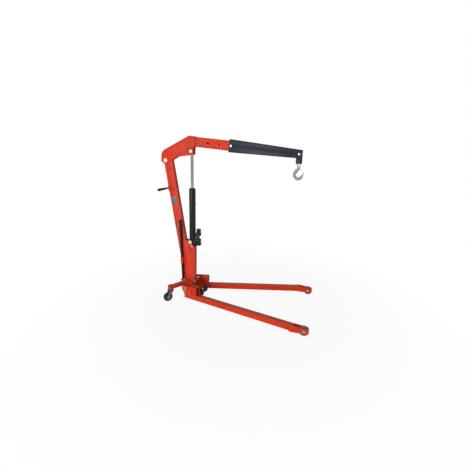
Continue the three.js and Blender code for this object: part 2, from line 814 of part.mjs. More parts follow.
function neckSolid() {
  const underside = [[-neckRear, -neckHeelLow], [-neckHeelAhead, -neckHeelDrop],
    [neckArchU, neckArchV, neckArchRound]];
  const front = [[neckToeU, neckToeV, neckToeRound], [neckStepU, neckStepV, neckToeRound / 2],
    [neckSeamU, neckSeamV], [neckFrontU, neckCrown]];
  const crown = [[neckCrownRear, neckCrown, neckCrownRound], [-neckRear, neckShoulderV, neckShoulderRound]];
  const open = [...underside.map(([u, v]) => [u, v]), [neckSeamU, neckToeV], [neckSeamU, neckCrown]];
  const insets = [...open.map((corner, i) => (i + 1 < open.length ? -cutOverrun : neckThickness)),
    ...crown.map(() => neckThickness)];
  const hollow = insetCorners([...open, ...crown], insets).map(([u, v], i) => (
    i < open.length ? [u, v] : [u, v, crown[i - open.length][2] - neckThickness]));
  return cut(
    sideProfile(roundedOutline([...underside, ...front, ...crown]), -neckOuter, neckOuter),
    sideProfile(roundedOutline(hollow), -neckInner, neckInner),
  );
}

function boomSolid() {
  const half = boomTubeWidth / 2;
  const tube = cut(
    frontProfile(rectangle(-half, half, tubeFloor, tubeTop, boomTubeRound), boomTubeRear, boomTubeFront),
    frontProfile(rectangle(boomTubeWall - half, half - boomTubeWall, tubeFloor + boomTubeWall,
      tubeTop - boomTubeWall, boomTubeRound - boomTubeWall), boomTubeRear - cutOverrun,
    boomTubeFront + cutOverrun),
  );
  const holes = Array.from({ length: boomHoleCount }, (_, i) => (
    pinHole(firstBoomHole + i * boomHolePitch, boomTubeAxis, boomHoleRadius, neckOuter + cutOverrun)));
  return cut(join(neckSolid(), tube), ...holes,
    pinHole(0, 0, boomBoltRadius + pinPlay, neckOuter + cutOverrun),
    pinHole(ramTopU, ramTopV, ramPinRadius + pinPlay, neckOuter + cutOverrun));
}

// Sleeve sections: its roof and floor close in on the tube where the tube ends with the sleeve pushed home
const sleeveBack = lastBoomHole - sleeveBehindHole;
const sleeveFront = sleeveBack + sleeveLength;
const tubeEndPushedHome = boomHolePitch * (boomHoleCount - 1) + boomTubeFront - sleeveBack;
const sleeveHalfWidth = boomTubeWidth / 2 + slideGap + sleeveWall;

function sleeveRing(u, inset) {
  const station = u - sleeveBack;
  const toTubeEnd = tubeEndPushedHome - station;
  const roof = tubeTop + slideGap + sleeveWall + toTubeEnd * Math.tan(sleeveTopTaper) - inset;
  const floor = tubeFloor - slideGap - sleeveWall - toTubeEnd * Math.tan(sleeveFloorTaper) + inset;
  const half = sleeveHalfWidth - inset;
  const topRound = sleeveTopRound + (sleeveTipRound - sleeveTopRound) * station / sleeveLength - inset;
  const floorRound = sleeveFloorRound - inset;
  return roundedOutline([[-half, floor, floorRound], [half, floor, floorRound], [half, roof, topRound],
    [-half, roof, topRound]], filletStep).map(({ x: y, y: v }) => new THREE.Vector3(u, y, v));
}

const tipPinU = sleeveFront - tipPinBehindEnd;

function sleeveSolid() {
  const shell = cut(
    loft([sleeveRing(sleeveBack, 0), sleeveRing(sleeveFront, 0)]),
    loft([sleeveRing(sleeveBack - cutOverrun, sleeveWall),
      sleeveRing(sleeveFront + cutOverrun, sleeveWall)]),
  );
  const slotRear = tipPinU - yokeWidth / 2 - yokeFoot;
  const slotHalf = sleeveHalfWidth - sleeveWall;
  const floorSlot = frontProfile(rectangle(-slotHalf, slotHalf, tubeFloor - cutOverrun,
    boomTubeAxis - boomTubeWidth / 2), slotRear, sleeveFront + cutOverrun);
  const boss = sideProfile(circle(lastBoomHole, boomTubeAxis, plungerBossRadius),
    -sleeveHalfWidth - plungerBossHeight, weldLap - sleeveHalfWidth);
  return cut(join(shell, boss), floorSlot,
    pinHole(lastBoomHole, boomTubeAxis, plungerRadius + pinPlay, sleeveHalfWidth + cutOverrun),
    pinHole(tipPinU, tipPinV, tipPinRadius + pinPlay, sleeveHalfWidth + cutOverrun));
}

// Shackle plates hang from the tip pin inside the sleeve; their cross pin carries the hook's eye
const yokeOuter = sleeveHalfWidth - sleeveWall - slideGap;
const yokeInner = yokeOuter - yokeThickness;

function yokePlate(side) {
  const half = yokeWidth / 2;
  const foot = -yokePinDrop - yokeFoot;
  const plate = sidePlate(roundedOutline([[-half, foot, yokeFootRound], [half, foot, yokeFootRound],
    [half, half, half - weldLap / 2], [-half, half, half - weldLap / 2]]), side, yokeInner, yokeOuter);
  return cut(plate, pinHole(0, 0, tipPinRadius + pinPlay, yokeOuter + cutOverrun),
    pinHole(0, -yokePinDrop, yokePinRadius + pinPlay, yokeOuter + cutOverrun));
}

function yokePinSolid() {
  const shoulderStart = hookThickness / 2 + slideGap;
  const shoulderEnd = yokeInner - seatGap;
  const headSeat = yokeOuter + seatGap;
  const upper = [[yokePinRadius, shoulderStart], [yokePinShoulder, shoulderStart],
    [yokePinShoulder, shoulderEnd], [yokePinRadius, shoulderEnd], [yokePinRadius, headSeat],
    [yokePinHead, headSeat], [yokePinHead, headSeat + yokePinHeadHeight],
    [0, headSeat + yokePinHeadHeight]];
  const lower = upper.map(([radius, along]) => [radius, -along]).reverse();
  return turned([...lower, ...upper], smallFacets);
}

// Hook bowl: reach of its middle line and its girth, turned through the angles from the neck to the tip
const hookAngles = [84, 105, 125, 150, 180, 225, 270, 315, 355, 385];
const hookReachShares = [1.82, 1.51, 1.36, 1.28, 1.28, 1.3, 1.33, 1.33, 1.36, 1.82];
const hookGirthShares = [0.7, 0.95, 1.01, 0.93, 0.77, 0.8, 0.88, 0.7, 0.44, 0.22];
const hookStations = 30;
const hookSectionFacets = 12;
const hookFlatShare = 0.86;

function hookRing(place) {
  const middle = degToRad(place.x);
  const centre = new THREE.Vector3(Math.cos(middle), 0, Math.sin(middle));
  return Array.from({ length: hookSectionFacets }, (_, i) => {
    const turn = 2 * Math.PI * i / hookSectionFacets;
    const reach = place.y + place.z * Math.cos(turn);
    return centre.clone().multiplyScalar(reach).setY(place.z * hookFlatShare * Math.sin(turn));
  });
}

function hookSolid() {
  const keys = hookAngles.map((angle, i) => (
    new THREE.Vector3(angle, hookBowl * hookReachShares[i], hookGirth * hookGirthShares[i])));
  const run = new THREE.CatmullRomCurve3(keys);
  const rings = Array.from({ length: hookStations + 1 }, (_, i) => hookRing(run.getPoint(i / hookStations)));
  const bowl = loft(rings).translate(0, 0, -hookDrop);
  const half = hookEyeWidth / 2;
  const boreHalf = hookEyeBore / 2;
  const eye = sideProfile(roundedOutline([
    [-hookNeckWidth / 2, -hookNeckDrop], [hookNeckWidth / 2, -hookNeckDrop],
    [hookEyeWaist / 2, -hookEyeWaistDrop], [half, half, half - weldLap], [-half, half, half - weldLap],
    [-hookEyeWaist / 2, -hookEyeWaistDrop],
  ]), -hookThickness / 2, hookThickness / 2);
  const bore = sideProfile(roundedOutline([
    [-hookSlotFoot / 2, -hookSlotFootDrop, hookSlotRound],
    [hookSlotFoot / 2, -hookSlotFootDrop, hookSlotRound],
    [boreHalf, -hookSlotWaistDrop], [boreHalf, boreHalf, boreHalf - weldLap / 2],
    [-boreHalf, boreHalf, boreHalf - weldLap / 2], [-boreHalf, -hookSlotWaistDrop],
  ]), -hookThickness, hookThickness);
  const neck = new THREE.CylinderGeometry(hookNeckWidth / 2, hookNeckWidth / 2, hookNeckLength, smallFacets);
  neck.rotateX(Math.PI / 2).translate(0, 0, -hookNeckDrop + weldLap * 2);
  const lugHeight = latchPivotRise - hookDrop;
  const lug = join(...[circle(latchPivotX, lugHeight, latchEarRadius, smallFacets), roundedOutline([
    [0, lugHeight - latchEarRadius], [latchPivotX, lugHeight - latchEarRadius],
    [latchPivotX, lugHeight + latchEarRadius], [0, lugHeight + latchEarRadius * 2],
  ])].map((outline) => sideProfile(outline, -latchLugThickness / 2, latchLugThickness / 2)));
  const latchBore = pinHole(latchPivotX, lugHeight, latchPinRadius + pinPlay / 2, hookThickness);
  return cut(join(cut(eye, bore), neck, bowl, lug), latchBore);
}

// The latch's tongue lies against the inside of the hook's tip
function hookTip() {
  const angle = degToRad(hookAngles.at(-1));
  const reach = hookBowl * hookReachShares.at(-1) - hookGirth * hookGirthShares.at(-1);
  return new THREE.Vector2(reach * Math.cos(angle), reach * Math.sin(angle) - hookDrop);
}
function latchSolid() {
  const pivot = new THREE.Vector2(latchPivotX, latchPivotRise - hookDrop);
  const along = hookTip().sub(pivot);
  const length = along.length() - seatGap;
  along.normalize();
  const inward = new THREE.Vector2(along.y, -along.x);
  const place = (ahead, side) => pivot.clone().addScaledVector(along, ahead).addScaledVector(inward, side);
  const tongue = sideProfile([place(latchEarRadius, latchThickness), place(length, latchThickness),
    place(length, 0), place(latchEarRadius, 0)], -latchWidth / 2, latchWidth / 2);
  const link = [place(0, latchEarRadius), place(latchEarReach, latchThickness), place(latchEarReach, 0),
    place(0, -latchEarRadius / 2)];
  const outlines = [link, circle(pivot.x, pivot.y, latchEarRadius, smallFacets)];
  const ears = bothSides.map((half) => join(...outlines.map((outline) => (
    sidePlate(outline, half, latchWidth / 2 - latchEarThickness, latchWidth / 2)))));
  return cut(join(tongue, ...ears),
    pinHole(pivot.x, pivot.y, latchPinRadius + pinPlay / 2, latchWidth));
}

// Ram, drawn about its own axis: x ahead of the axis, z up from the base pivot's level
function ramFrame() {
  const sine = Math.sin(boomDroop);
  const cosine = Math.cos(boomDroop);
  const top = new THREE.Vector3(ramTopU * cosine + ramTopV * sine, 0,
    boomPivotHeight - ramTopU * sine + ramTopV * cosine);
  const span = top.clone().sub(new THREE.Vector3(ramPivotX, 0, ramPivotHeight));
  const lean = Math.atan2(span.x, span.z) - Math.asin(ramAxisAhead / span.length());
  return { lean, reach: Math.sqrt(span.lengthSq() - ramAxisAhead ** 2) };
}
const cylinderTop = cylinderFoot + cylinderLength;

function cylinderSolid() {
  const bore = cylinderRadius - cylinderWall;
  const rodBore = rodRadius + pinPlay;
  const barrel = upright(turned([
    [0, cylinderFoot], [cylinderRadius, cylinderFoot], [cylinderRadius, cylinderTop, cylinderShoulder],
    [rodBore, cylinderTop], [rodBore, cylinderTop - glandLength], [bore, cylinderTop - glandLength],
    [bore, cylinderFoot + cylinderFloor], [0, cylinderFoot + cylinderFloor],
  ], wheelFacets));
  const lug = sideProfile(circle(-ramAxisAhead, 0, ramEarRadius), -ramLugWidth / 2, ramLugWidth / 2);
  const block = sideProfile(roundedOutline([
    [-ramAxisAhead, -ramEarRadius + weldLap], [ramBlockFront, weldLap - ramEarRadius, pumpRound],
    [ramBlockFront, cylinderFoot + cylinderFloor / 2],
    [-ramAxisAhead - weldLap, cylinderFoot + cylinderFloor / 2],
  ]), -ramLugWidth / 2, ramLugWidth / 2);
  const filler = frontProfile(circle(0, fillerHeight, fillerRadius, smallFacets),
    cylinderRadius - cylinderWall / 2, cylinderRadius + fillerBoss);
  return cut(join(barrel, lug, block, filler),
    pinHole(-ramAxisAhead, 0, ramPinRadius + pinPlay, ramLugWidth));
}

function rodSolid() {
  const { reach } = ramFrame();
  const foot = cylinderTop - rodInside;
  const rod = upright(turned([
    [0, foot], [pistonRadius, foot], [pistonRadius, foot + pistonLength], [rodRadius, foot + pistonLength],
    [rodRadius, reach], [0, reach],
  ]));
  const eye = sideProfile(circle(0, reach, rodEyeRadius), -rodRadius, rodRadius);
  return cut(join(rod, eye), pinHole(0, reach, ramPinRadius - pinPlay * 2, rodEyeRadius * 2));
}

// Pump block against the ram's base block, with the plunger's barrel and the socket's lug
function pumpBodySolid() {
  const rear = ramBlockFront + seatGap;
  const block = planProfile(rectangle(rear, rear + pumpDepth, -pumpWidth / 2, pumpWidth / 2, pumpRound),
    -pumpBottom, pumpTop);
  const barrel = planProfile(circle(pumpBarrelAhead, 0, pumpBarrelRadius), pumpTop - weldLap, pumpBarrelTop);
  const lug = sideProfile(roundedOutline([
    [pumpLugAhead - pumpLugRadius / 2, pumpTop - weldLap], [pumpLugAhead + pumpLugRadius, pumpTop - weldLap],
    [pumpLugAhead + pumpLugRadius, pumpLinkHeight + pumpLugRadius, pumpLugRadius - weldLap],
    [pumpLugAhead - pumpLugRadius, pumpLinkHeight + pumpLugRadius, pumpLugRadius - weldLap],
    [pumpLugAhead - pumpLugRadius, pumpLinkHeight - pumpLugRadius],
  ]), -pumpLugThickness / 2, pumpLugThickness / 2);
  const bore = planProfile(circle(pumpBarrelAhead, 0, pumpPlungerRadius + pinPlay, smallFacets),
    pumpPlungerFoot - pumpStroke, pumpBarrelTop + cutOverrun);
  const valveBore = frontProfile(circle(0, valveHeight, valveStemRadius + pinPlay, smallFacets),
    rear + pumpDepth - valveStemLength, rear + pumpDepth + cutOverrun);
  return cut(join(block, barrel, lug), bore, valveBore,
    pinHole(pumpLugAhead, pumpLinkHeight, socketPinRadius + pinPlay / 2, pumpWidth));
}

// The ram's top pin shows as a headed stub in each cheek, clear of the rod's eye
function ramTopPinSolid(side) {
  const headSeat = neckOuter + seatGap;
  return join(sidePlate(circle(0, 0, ramPinRadius), side, neckInner + seatGap, headSeat + weldLap),
    sidePlate(circle(0, 0, ramPinHead, hexFacets), side, headSeat, headSeat + ramPinHeadHeight));
}

function pumpPlungerSolid() {
  const neck = pumpLinkHeight - socketCheekRadius - pumpNeckGap;
  const stem = planProfile(circle(pumpBarrelAhead, 0, pumpPlungerRadius, smallFacets), pumpPlungerFoot,
    neck);
  const tongue = planProfile(rectangle(pumpBarrelAhead - pumpPlungerRadius / 2, pumpBarrelAhead
    + pumpPlungerRadius / 2, -pumpLugThickness / 2, pumpLugThickness / 2), neck - weldLap, pumpLinkHeight);
  const eye = sideProfile(circle(pumpBarrelAhead, pumpLinkHeight, pumpPlungerEye, smallFacets),
    -pumpLugThickness / 2, pumpLugThickness / 2);
  return cut(join(stem, tongue, eye),
    pinHole(pumpBarrelAhead, pumpLinkHeight, socketPinRadius + pinPlay / 2, pumpWidth));
}

// The socket's cheeks straddle the lug and the plunger's eye; the plunger's pin runs in a slot
function socketSolid() {
  const inner = pumpLugThickness / 2 + pinPlay;
  const outer = inner + socketCheek;
  const rear = pumpLugAhead - socketCheekRadius;
  const front = pumpBarrelAhead + socketCheekRadius + socketSlotRun;
  const slot = sideProfile(rectangle(pumpBarrelAhead - socketSlotHalf, pumpBarrelAhead + socketPinRadius
    + socketSlotRun, pumpLinkHeight - socketSlotHalf, pumpLinkHeight + socketSlotHalf),
  -outer - cutOverrun, outer + cutOverrun);
  const cheekOutline = rectangle(rear, front, pumpLinkHeight - socketCheekRadius,
    pumpLinkHeight + socketCheekRadius, socketCheekRadius - weldLap / 2);
  const cheeks = bothSides.map((half) => sidePlate(cheekOutline, half, inner, outer));
  const bridgeFoot = pumpLinkHeight + socketBridgeRise;
  const tubeFoot = bridgeFoot + socketBridgeDepth;
  const [tubeRear, tubeFront] = [socketTubeAhead - socketTubeRadius, socketTubeAhead + socketTubeRadius];
  const bridge = sideProfile(rectangle(tubeRear, tubeFront, bridgeFoot, tubeFoot, weldLap), -outer, outer);
  const ribs = bothSides.map((half) => sidePlate(rectangle(tubeRear, tubeFront,
    pumpLinkHeight + socketSlotHalf + weldLap, tubeFoot - weldLap), half, inner, outer));
  const tube = planProfile(circle(socketTubeAhead, 0, socketTubeRadius), tubeFoot - weldLap,
    tubeFoot + socketTubeLength);
  const bore = planProfile(circle(socketTubeAhead, 0, socketTubeBore), tubeFoot + weldLap,
    tubeFoot + socketTubeLength + cutOverrun);
  return cut(join(...cheeks, bridge, ...ribs, tube), bore, slot,
    pinHole(pumpLugAhead, pumpLinkHeight, socketPinRadius + pinPlay / 2, outer + cutOverrun));
}

function linkPinSolid() {
  const seat = pumpLugThickness / 2 + pinPlay + socketCheek + seatGap;
  const head = socketPinRadius + socketPinHeadHeight;
  return turned([
    [0, -seat - socketPinHeadHeight], [head, -seat - socketPinHeadHeight], [head, -seat],
    [socketPinRadius, -seat], [socketPinRadius, seat], [head, seat], [head, seat + socketPinHeadHeight],
    [0, seat + socketPinHeadHeight],
  ], smallFacets);
}

function releaseValveSolid() {
  const face = ramBlockFront + seatGap + pumpDepth;
  const stem = frontProfile(circle(0, 0, valveStemRadius, smallFacets), face - valveStemLength + weldLap,
    face + seatGap + weldLap);
  const knob = frontProfile(circle(0, 0, valveKnobRadius, smallFacets), face + seatGap,
    face + seatGap + valveKnobLength);
  const wing = frontProfile(rectangle(-valveWingReach, valveWingReach, -valveStemRadius / 2,
    valveStemRadius / 2), face + seatGap + valveKnobLength / 2, face + seatGap + valveWingLength);
  return join(stem, knob, wing);
}

// Pump lever, its grip and the holder on the column's near cheek
const leverY = -(cheekSide + seatGap + holderWall + slideGap + leverRadius);

function leverSolid() {
  const foot = footTop + seatGap;
  const bore = circle(leverX, leverY, leverRadius - leverWall);
  return cut(planProfile(circle(leverX, leverY, leverRadius), foot, foot + leverLength),
    planProfile(bore, foot - cutOverrun, foot + leverLength + cutOverrun));
}
function leverGripSolid() {
  const top = footTop + seatGap + leverLength + leverGripDome;
  const foot = top - leverGripLength;
  const bore = leverRadius + seatGap;
  const grip = upright(turned([
    [bore, foot], [leverGripFoot, foot], [leverGripFoot + weldLap, foot + leverGripDome],
    [leverGripTop - weldLap, top - leverGripTaper], [leverGripTop, top, leverGripDome], [0, top],
    [0, top - leverGripDome + seatGap], [bore, top - leverGripDome + seatGap], [bore, foot],
  ]));
  return grip.translate(leverX, leverY, 0);
}
function leverHolderSolid() {
  const bore = leverRadius + slideGap;
  const outer = bore + holderWall;
  const ring = planProfile(circle(leverX, leverY, outer), holderFoot, holderFoot + holderHeight);
  const seat = -cheekSide - seatGap;
  const pad = planProfile(rectangle(leverX - holderPad / 2, leverX + holderPad, seat - holderWall, seat),
    holderFoot, holderFoot + holderHeight);
  return cut(join(ring, pad), planProfile(circle(leverX, leverY, bore), holderFoot - cutOverrun,
    holderFoot + holderHeight + cutOverrun));
}

// Push bar: a cross tube on a saddle behind the mast, with a rubber grip on each end
const pushBarX = mastX(-mastDepth / 2, pushBarHeight) - seatGap - pushSaddleThickness - pushBarRadius
  + weldLap;

function pushBarSolid() {
  const bar = sideProfile(circle(pushBarX, pushBarHeight, pushBarRadius, smallFacets),
    -pushBarHalfLength, pushBarHalfLength);
  const rear = (height) => mastX(-mastDepth / 2, height) - seatGap / Math.cos(mastLean);
  const [low, high] = [pushBarHeight - pushSaddleHeight / 2, pushBarHeight + pushSaddleHeight / 2];
  const saddle = sideProfile(roundedOutline([
    [rear(low) - pushSaddleThickness, low], [rear(low), low], [rear(high), high],
    [rear(high) - pushSaddleThickness, high],
  ]), -mastSide, mastSide);
  const trimmed = cut(bar, sideProfile(roundedOutline([
    [rear(low) - weldLap, low], [rear(low) + cutOverrun, low], [rear(high) + cutOverrun, high],
    [rear(high) - weldLap, high],
  ]), -pushBarHalfLength, pushBarHalfLength));
  return join(trimmed, saddle);
}
function pushGripSolid(side) {
  const bore = pushBarRadius + seatGap;
  const inner = pushBarHalfLength - pushGripLength + pushGripEnd;
  const outer = pushBarHalfLength + pushGripEnd;
  const grip = turned([
    [bore, inner], [pushGripNeck, inner], [pushGripNeck + weldLap, inner + pushGripCollar],
    [pushGripRadius - weldLap, outer - pushGripTaper], [pushGripRadius, outer, pushGripEnd], [0, outer],
    [0, outer - pushGripEnd + seatGap], [bore, outer - pushGripEnd + seatGap], [bore, inner],
  ], smallFacets);
  if (side === nearSide) grip.rotateX(Math.PI);
  return grip.translate(pushBarX, 0, pushBarHeight);
}

// Assembly
const crane = new THREE.Group();
crane.add(piece('base_frame', baseSolid(), redPaint()));
crane.add(piece('mast', mastSolid(), redPaint()));
crane.add(piece('push_bar', pushBarSolid(), blackPaint()));
crane.add(piece('pump_lever', leverSolid(), blackPaint()));
crane.add(piece('lever_grip', leverGripSolid(), rubber()));
crane.add(piece('lever_holder', leverHolderSolid(), redPaint()));

const boltHalf = neckOuter + seatGap;
const boomBolt = piece('boom_pivot_bolt', throughBolt(boomBoltRadius, boltHalf, boomBoltHead,
  boomBoltHeadHeight), zinc());
boomBolt.position.set(0, 0, boomPivotHeight);
crane.add(boomBolt);

const ramBolt = piece('ram_base_bolt', throughBolt(ramPinRadius, cheekSide + seatGap, ramPinHead,
  ramPinHeadHeight), zinc());
ramBolt.position.set(ramPivotX, 0, ramPivotHeight);
crane.add(ramBolt);

const boom = new THREE.Group();
boom.position.set(0, 0, boomPivotHeight);
boom.rotation.y = boomDroop;
boom.add(piece('boom_beam', boomSolid(), redPaint()));
boom.add(piece('boom_sleeve', sleeveSolid(), blackPaint()));
const sleevePlunger = piece('sleeve_lock_pin', plungerSolid(nearSide, sleeveHalfWidth), zinc());
sleevePlunger.position.set(lastBoomHole, 0, boomTubeAxis);
boom.add(sleevePlunger);
const tipBolt = piece('hook_tip_bolt', throughBolt(tipPinRadius, sleeveHalfWidth + seatGap, tipPinHead,
  tipPinHeadHeight), zinc());
tipBolt.position.set(tipPinU, 0, tipPinV);
boom.add(tipBolt);
bothSides.forEach((side) => {
  const stub = piece(`ram_top_pin_${sideName(side)}`, ramTopPinSolid(side), zinc());
  stub.position.set(ramTopU, 0, ramTopV);
  boom.add(stub);
});
crane.add(boom);

const hanging = new THREE.Group();
hanging.position.set(tipPinU * Math.cos(boomDroop) + tipPinV * Math.sin(boomDroop), 0,
  boomPivotHeight - tipPinU * Math.sin(boomDroop) + tipPinV * Math.cos(boomDroop));
bothSides.forEach((side) => {
  hanging.add(piece(`yoke_plate_${sideName(side)}`, yokePlate(side), blackPaint()));
});
const hookGroup = new THREE.Group();
hookGroup.position.set(0, 0, -yokePinDrop);
hookGroup.add(piece('yoke_pin', yokePinSolid(), zinc()));
hookGroup.add(piece('hook', hookSolid(), galvanised()));
hookGroup.add(piece('hook_latch', latchSolid(), zinc()));
const latchPin = piece('latch_pin', pinHole(0, 0, latchPinRadius, latchWidth / 2 + weldLap), zinc());
latchPin.position.set(latchPivotX, 0, latchPivotRise - hookDrop);
hookGroup.add(latchPin);
hanging.add(hookGroup);
crane.add(hanging);

const { lean: ramLean } = ramFrame();
const ram = new THREE.Group();
ram.position.set(ramPivotX + ramAxisAhead * Math.cos(ramLean), 0,
  ramPivotHeight - ramAxisAhead * Math.sin(ramLean));
ram.rotation.y = ramLean;
ram.add(piece('ram_cylinder', cylinderSolid(), blackPaint()));
ram.add(piece('ram_rod', rodSolid(), chrome()));
ram.add(piece('pump_body', pumpBodySolid(), blackPaint()));
ram.add(piece('pump_plunger', pumpPlungerSolid(), chrome()));
ram.add(piece('pump_socket', socketSolid(), blackPaint()));
[['socket_pin', pumpLugAhead], ['plunger_pin', pumpBarrelAhead]].forEach(([name, ahead]) => {
  const pin = piece(name, linkPinSolid(), zinc());
  pin.position.set(ahead, 0, pumpLinkHeight);
  ram.add(pin);
});
const valve = piece('release_valve', releaseValveSolid(), zinc());
valve.position.set(0, 0, valveHeight);
ram.add(valve);
crane.add(ram);

bothSides.forEach((side) => {
  const name = sideName(side);
  crane.add(piece(`push_grip_${name}`, pushGripSolid(side), rubber()));

  const leg = new THREE.Group();
  leg.position.set(legPivotX, side * legPivotY, 0);
  leg.rotation.z = side * legSplay;
  leg.add(piece(`leg_${name}`, legSolid(side), redPaint()));
  const bolt = piece(`leg_pivot_bolt_${name}`, throughBolt(legBoltRadius, bracketOuter + seatGap,
    legBoltHead, legBoltHeadHeight, side), zinc());
  bolt.position.set(0, 0, legPivotHeight);
  leg.add(bolt);
  const plunger = piece(`leg_lock_pin_${name}`, plungerSolid(side, bracketOuter), zinc());
  plunger.position.set(legLockAhead, 0, legPivotHeight - legLockDrop);
  leg.add(plunger);
  crane.add(leg);

  const forkHalf = frontWheelWidth / 2 + frontForkSideGap + frontForkPlate + seatGap;
  const frontWheel = piece(`front_wheel_${name}`, wheel(frontWheelRadius, frontWheelWidth,
    wheelAxleRadius + pinPlay), nylon());
  const frontAxle = piece(`front_axle_${name}`, throughBolt(wheelAxleRadius, forkHalf, axleHeadRadius,
    axleHeadHeight, side), zinc());
  [frontWheel, frontAxle].forEach((mesh) => mesh.position.copy(frontAxlePlace(side)));
  crane.add(frontWheel, frontAxle);

  const middleHalf = middleWheelWidth / 2 + middleForkGap + middleForkPlate + seatGap;
  const middleWheel = piece(`middle_wheel_${name}`, wheel(middleWheelRadius, middleWheelWidth,
    middleAxleRadius + pinPlay), nylon());
  const middleAxle = piece(`middle_axle_${name}`, throughBolt(middleAxleRadius, middleHalf, middleAxleHead,
    middleAxleHeadHeight, side), zinc());
  [middleWheel, middleAxle].forEach((mesh) => (
    mesh.position.set(middleWheelX, side * middleWheelY, middleAxleHeight)));
  crane.add(middleWheel, middleAxle);

  const caster = new THREE.Group();
  caster.position.set(casterPivotX, side * casterPivotY, 0);
  caster.rotation.z = side === nearSide ? casterHeading : -casterHeading;
  caster.add(piece(`caster_fork_${name}`, casterForkSolid(), zinc()));
  caster.add(piece(`caster_kingpin_${name}`, kingpinSolid(), zinc()));
  const casterHalf = rearWheelWidth / 2 + casterForkGap + casterForkPlate + seatGap;
  const rearWheel = piece(`rear_wheel_${name}`, wheel(rearWheelRadius, rearWheelWidth,
    wheelAxleRadius + pinPlay), nylon());
  const rearAxle = piece(`rear_axle_${name}`, throughBolt(wheelAxleRadius, casterHalf, axleHeadRadius,
    axleHeadHeight, side), zinc());
  [rearWheel, rearAxle].forEach((mesh) => mesh.position.set(casterTrail, 0, rearWheelRadius));
  caster.add(rearWheel, rearAxle);
  crane.add(caster);
});

// The origin is on the floor, midway between the rearmost and foremost points
crane.position.x = -new THREE.Box3().setFromObject(crane, true).getCenter(new THREE.Vector3()).x;

export default crane;
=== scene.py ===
"""Folding workshop crane: painted frame, welds, bolts, wheels, forged hook, ram and grips over its solids."""
import json
import math

import bpy
from mathutils import Matrix, Vector


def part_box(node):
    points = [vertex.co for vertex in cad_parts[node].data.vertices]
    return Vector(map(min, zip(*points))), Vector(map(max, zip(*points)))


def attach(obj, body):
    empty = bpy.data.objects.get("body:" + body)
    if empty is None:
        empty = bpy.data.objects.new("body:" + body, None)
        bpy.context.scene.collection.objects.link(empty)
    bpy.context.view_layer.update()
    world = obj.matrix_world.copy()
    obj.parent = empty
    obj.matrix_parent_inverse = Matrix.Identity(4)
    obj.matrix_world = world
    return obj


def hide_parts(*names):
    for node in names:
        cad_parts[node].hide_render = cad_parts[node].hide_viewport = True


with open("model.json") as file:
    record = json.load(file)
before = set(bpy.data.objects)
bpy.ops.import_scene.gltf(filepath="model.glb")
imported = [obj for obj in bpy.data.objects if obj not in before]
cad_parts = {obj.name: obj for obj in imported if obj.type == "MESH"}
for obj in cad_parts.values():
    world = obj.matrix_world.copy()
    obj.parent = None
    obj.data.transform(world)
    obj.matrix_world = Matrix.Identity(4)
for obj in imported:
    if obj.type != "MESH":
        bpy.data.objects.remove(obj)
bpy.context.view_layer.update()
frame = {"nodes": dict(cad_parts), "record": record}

NODES = frame["nodes"]
RECORD = frame["record"]
JOINTS = {joint["name"]: joint for joint in RECORD["behaviour"]["joints"]}
BODY_OF = {node: body for body, nodes in RECORD["behaviour"]["bodies"].items() for node in nodes}
SLOT_OF = {row["node"]: row["material_slot"] for row in RECORD["subparts"]}
SIDES = {"near": -1, "far": 1}
MM = 0.001
ACROSS = Vector((0, 1, 0))
UP = Vector((0, 0, 1))


def joint_place(name):
    return Vector(JOINTS[name]["pos_m"])


def joint_axis(name):
    return Vector(JOINTS[name]["axis"])


# Directions of the leaning and turned parts, taken from the joints
BOOM_ALONG = joint_axis("sleeve_slide")
BOOM_UP = BOOM_ALONG.cross(ACROSS).normalized()
RAM_UP = joint_axis("rod_slide")
RAM_AHEAD = ACROSS.cross(RAM_UP).normalized()
PIVOT = joint_place("boom_lift")
MAST_LEAN = math.radians(7.27)

# The ram's middle line runs this far ahead of the bolt at its foot
RAM_PIN_AHEAD = 20 * MM
RAM_FOOT = joint_place("ram_swing") + RAM_AHEAD * RAM_PIN_AHEAD


def at(x, y, z):
    """A point given in millimetres, x ahead of the boom's pivot."""
    return Vector((PIVOT.x + x * MM, y * MM, z * MM))


def on_boom(along, across, up):
    """A point given in millimetres from the boom's pivot, along and square to the boom."""
    return PIVOT + BOOM_ALONG * along * MM + Vector((0, across * MM, 0)) + BOOM_UP * up * MM


def on_ram(ahead, across, up):
    """A point given in millimetres from the foot of the ram's middle line."""
    return RAM_FOOT + RAM_AHEAD * ahead * MM + Vector((0, across * MM, 0)) + RAM_UP * up * MM


def leg_across(side):
    """Level direction square to a leg, pointing to the far side."""
    return joint_axis("leg_lock_" + side) * -SIDES[side]


def on_leg(side, along, across, up):
    """A point given in millimetres along and across a leg from its pivot, and above the floor."""
    over = leg_across(side)
    ahead = over.cross(UP)
    place = joint_place("leg_fold_" + side) + ahead * along * MM + over * across * MM
    place.z = up * MM
    return place


def both(*stems):
    """The near and the far name of pieces that come in pairs."""
    return [f"{stem}_{side}" for stem in stems for side in SIDES]


# Surfaces. All of them share how their noise is cut, which slope takes the upward tint (settled dust, and on
# the sleeve a painted highlight) and how far edges wear; the reach of the wear and the depth of the grain are
# in metres
COAT_ROUGHNESS = 0.12
PLAIN_DETAIL, FINE_DETAIL, GRAIN_DETAIL = 4.0, 6.0, 2.0
CLOUD_CUT = (0.35, 0.65)
DUST_AND_SHEEN_PATCH, DUST_AND_SHEEN_CUT, DUST_AND_SHEEN_SLOPE = 16.0, (0.3, 0.7), (0.6, 1.0)
WORN_PATCH, WORN_CUT, WORN_TURN = 70.0, (0.42, 0.6), (0.97, 0.86)
WORN_REACH, WORN_SAMPLES, WORN_SHARE = 0.0022, 4, 0.5
GLOSS_PATCHES, GLOSS_CUT, LEAST_GLOSS, MOST_GLOSS = 5, (0.3, 0.7), 1.25, 0.8
GRAIN_DEPTH = 0.0006


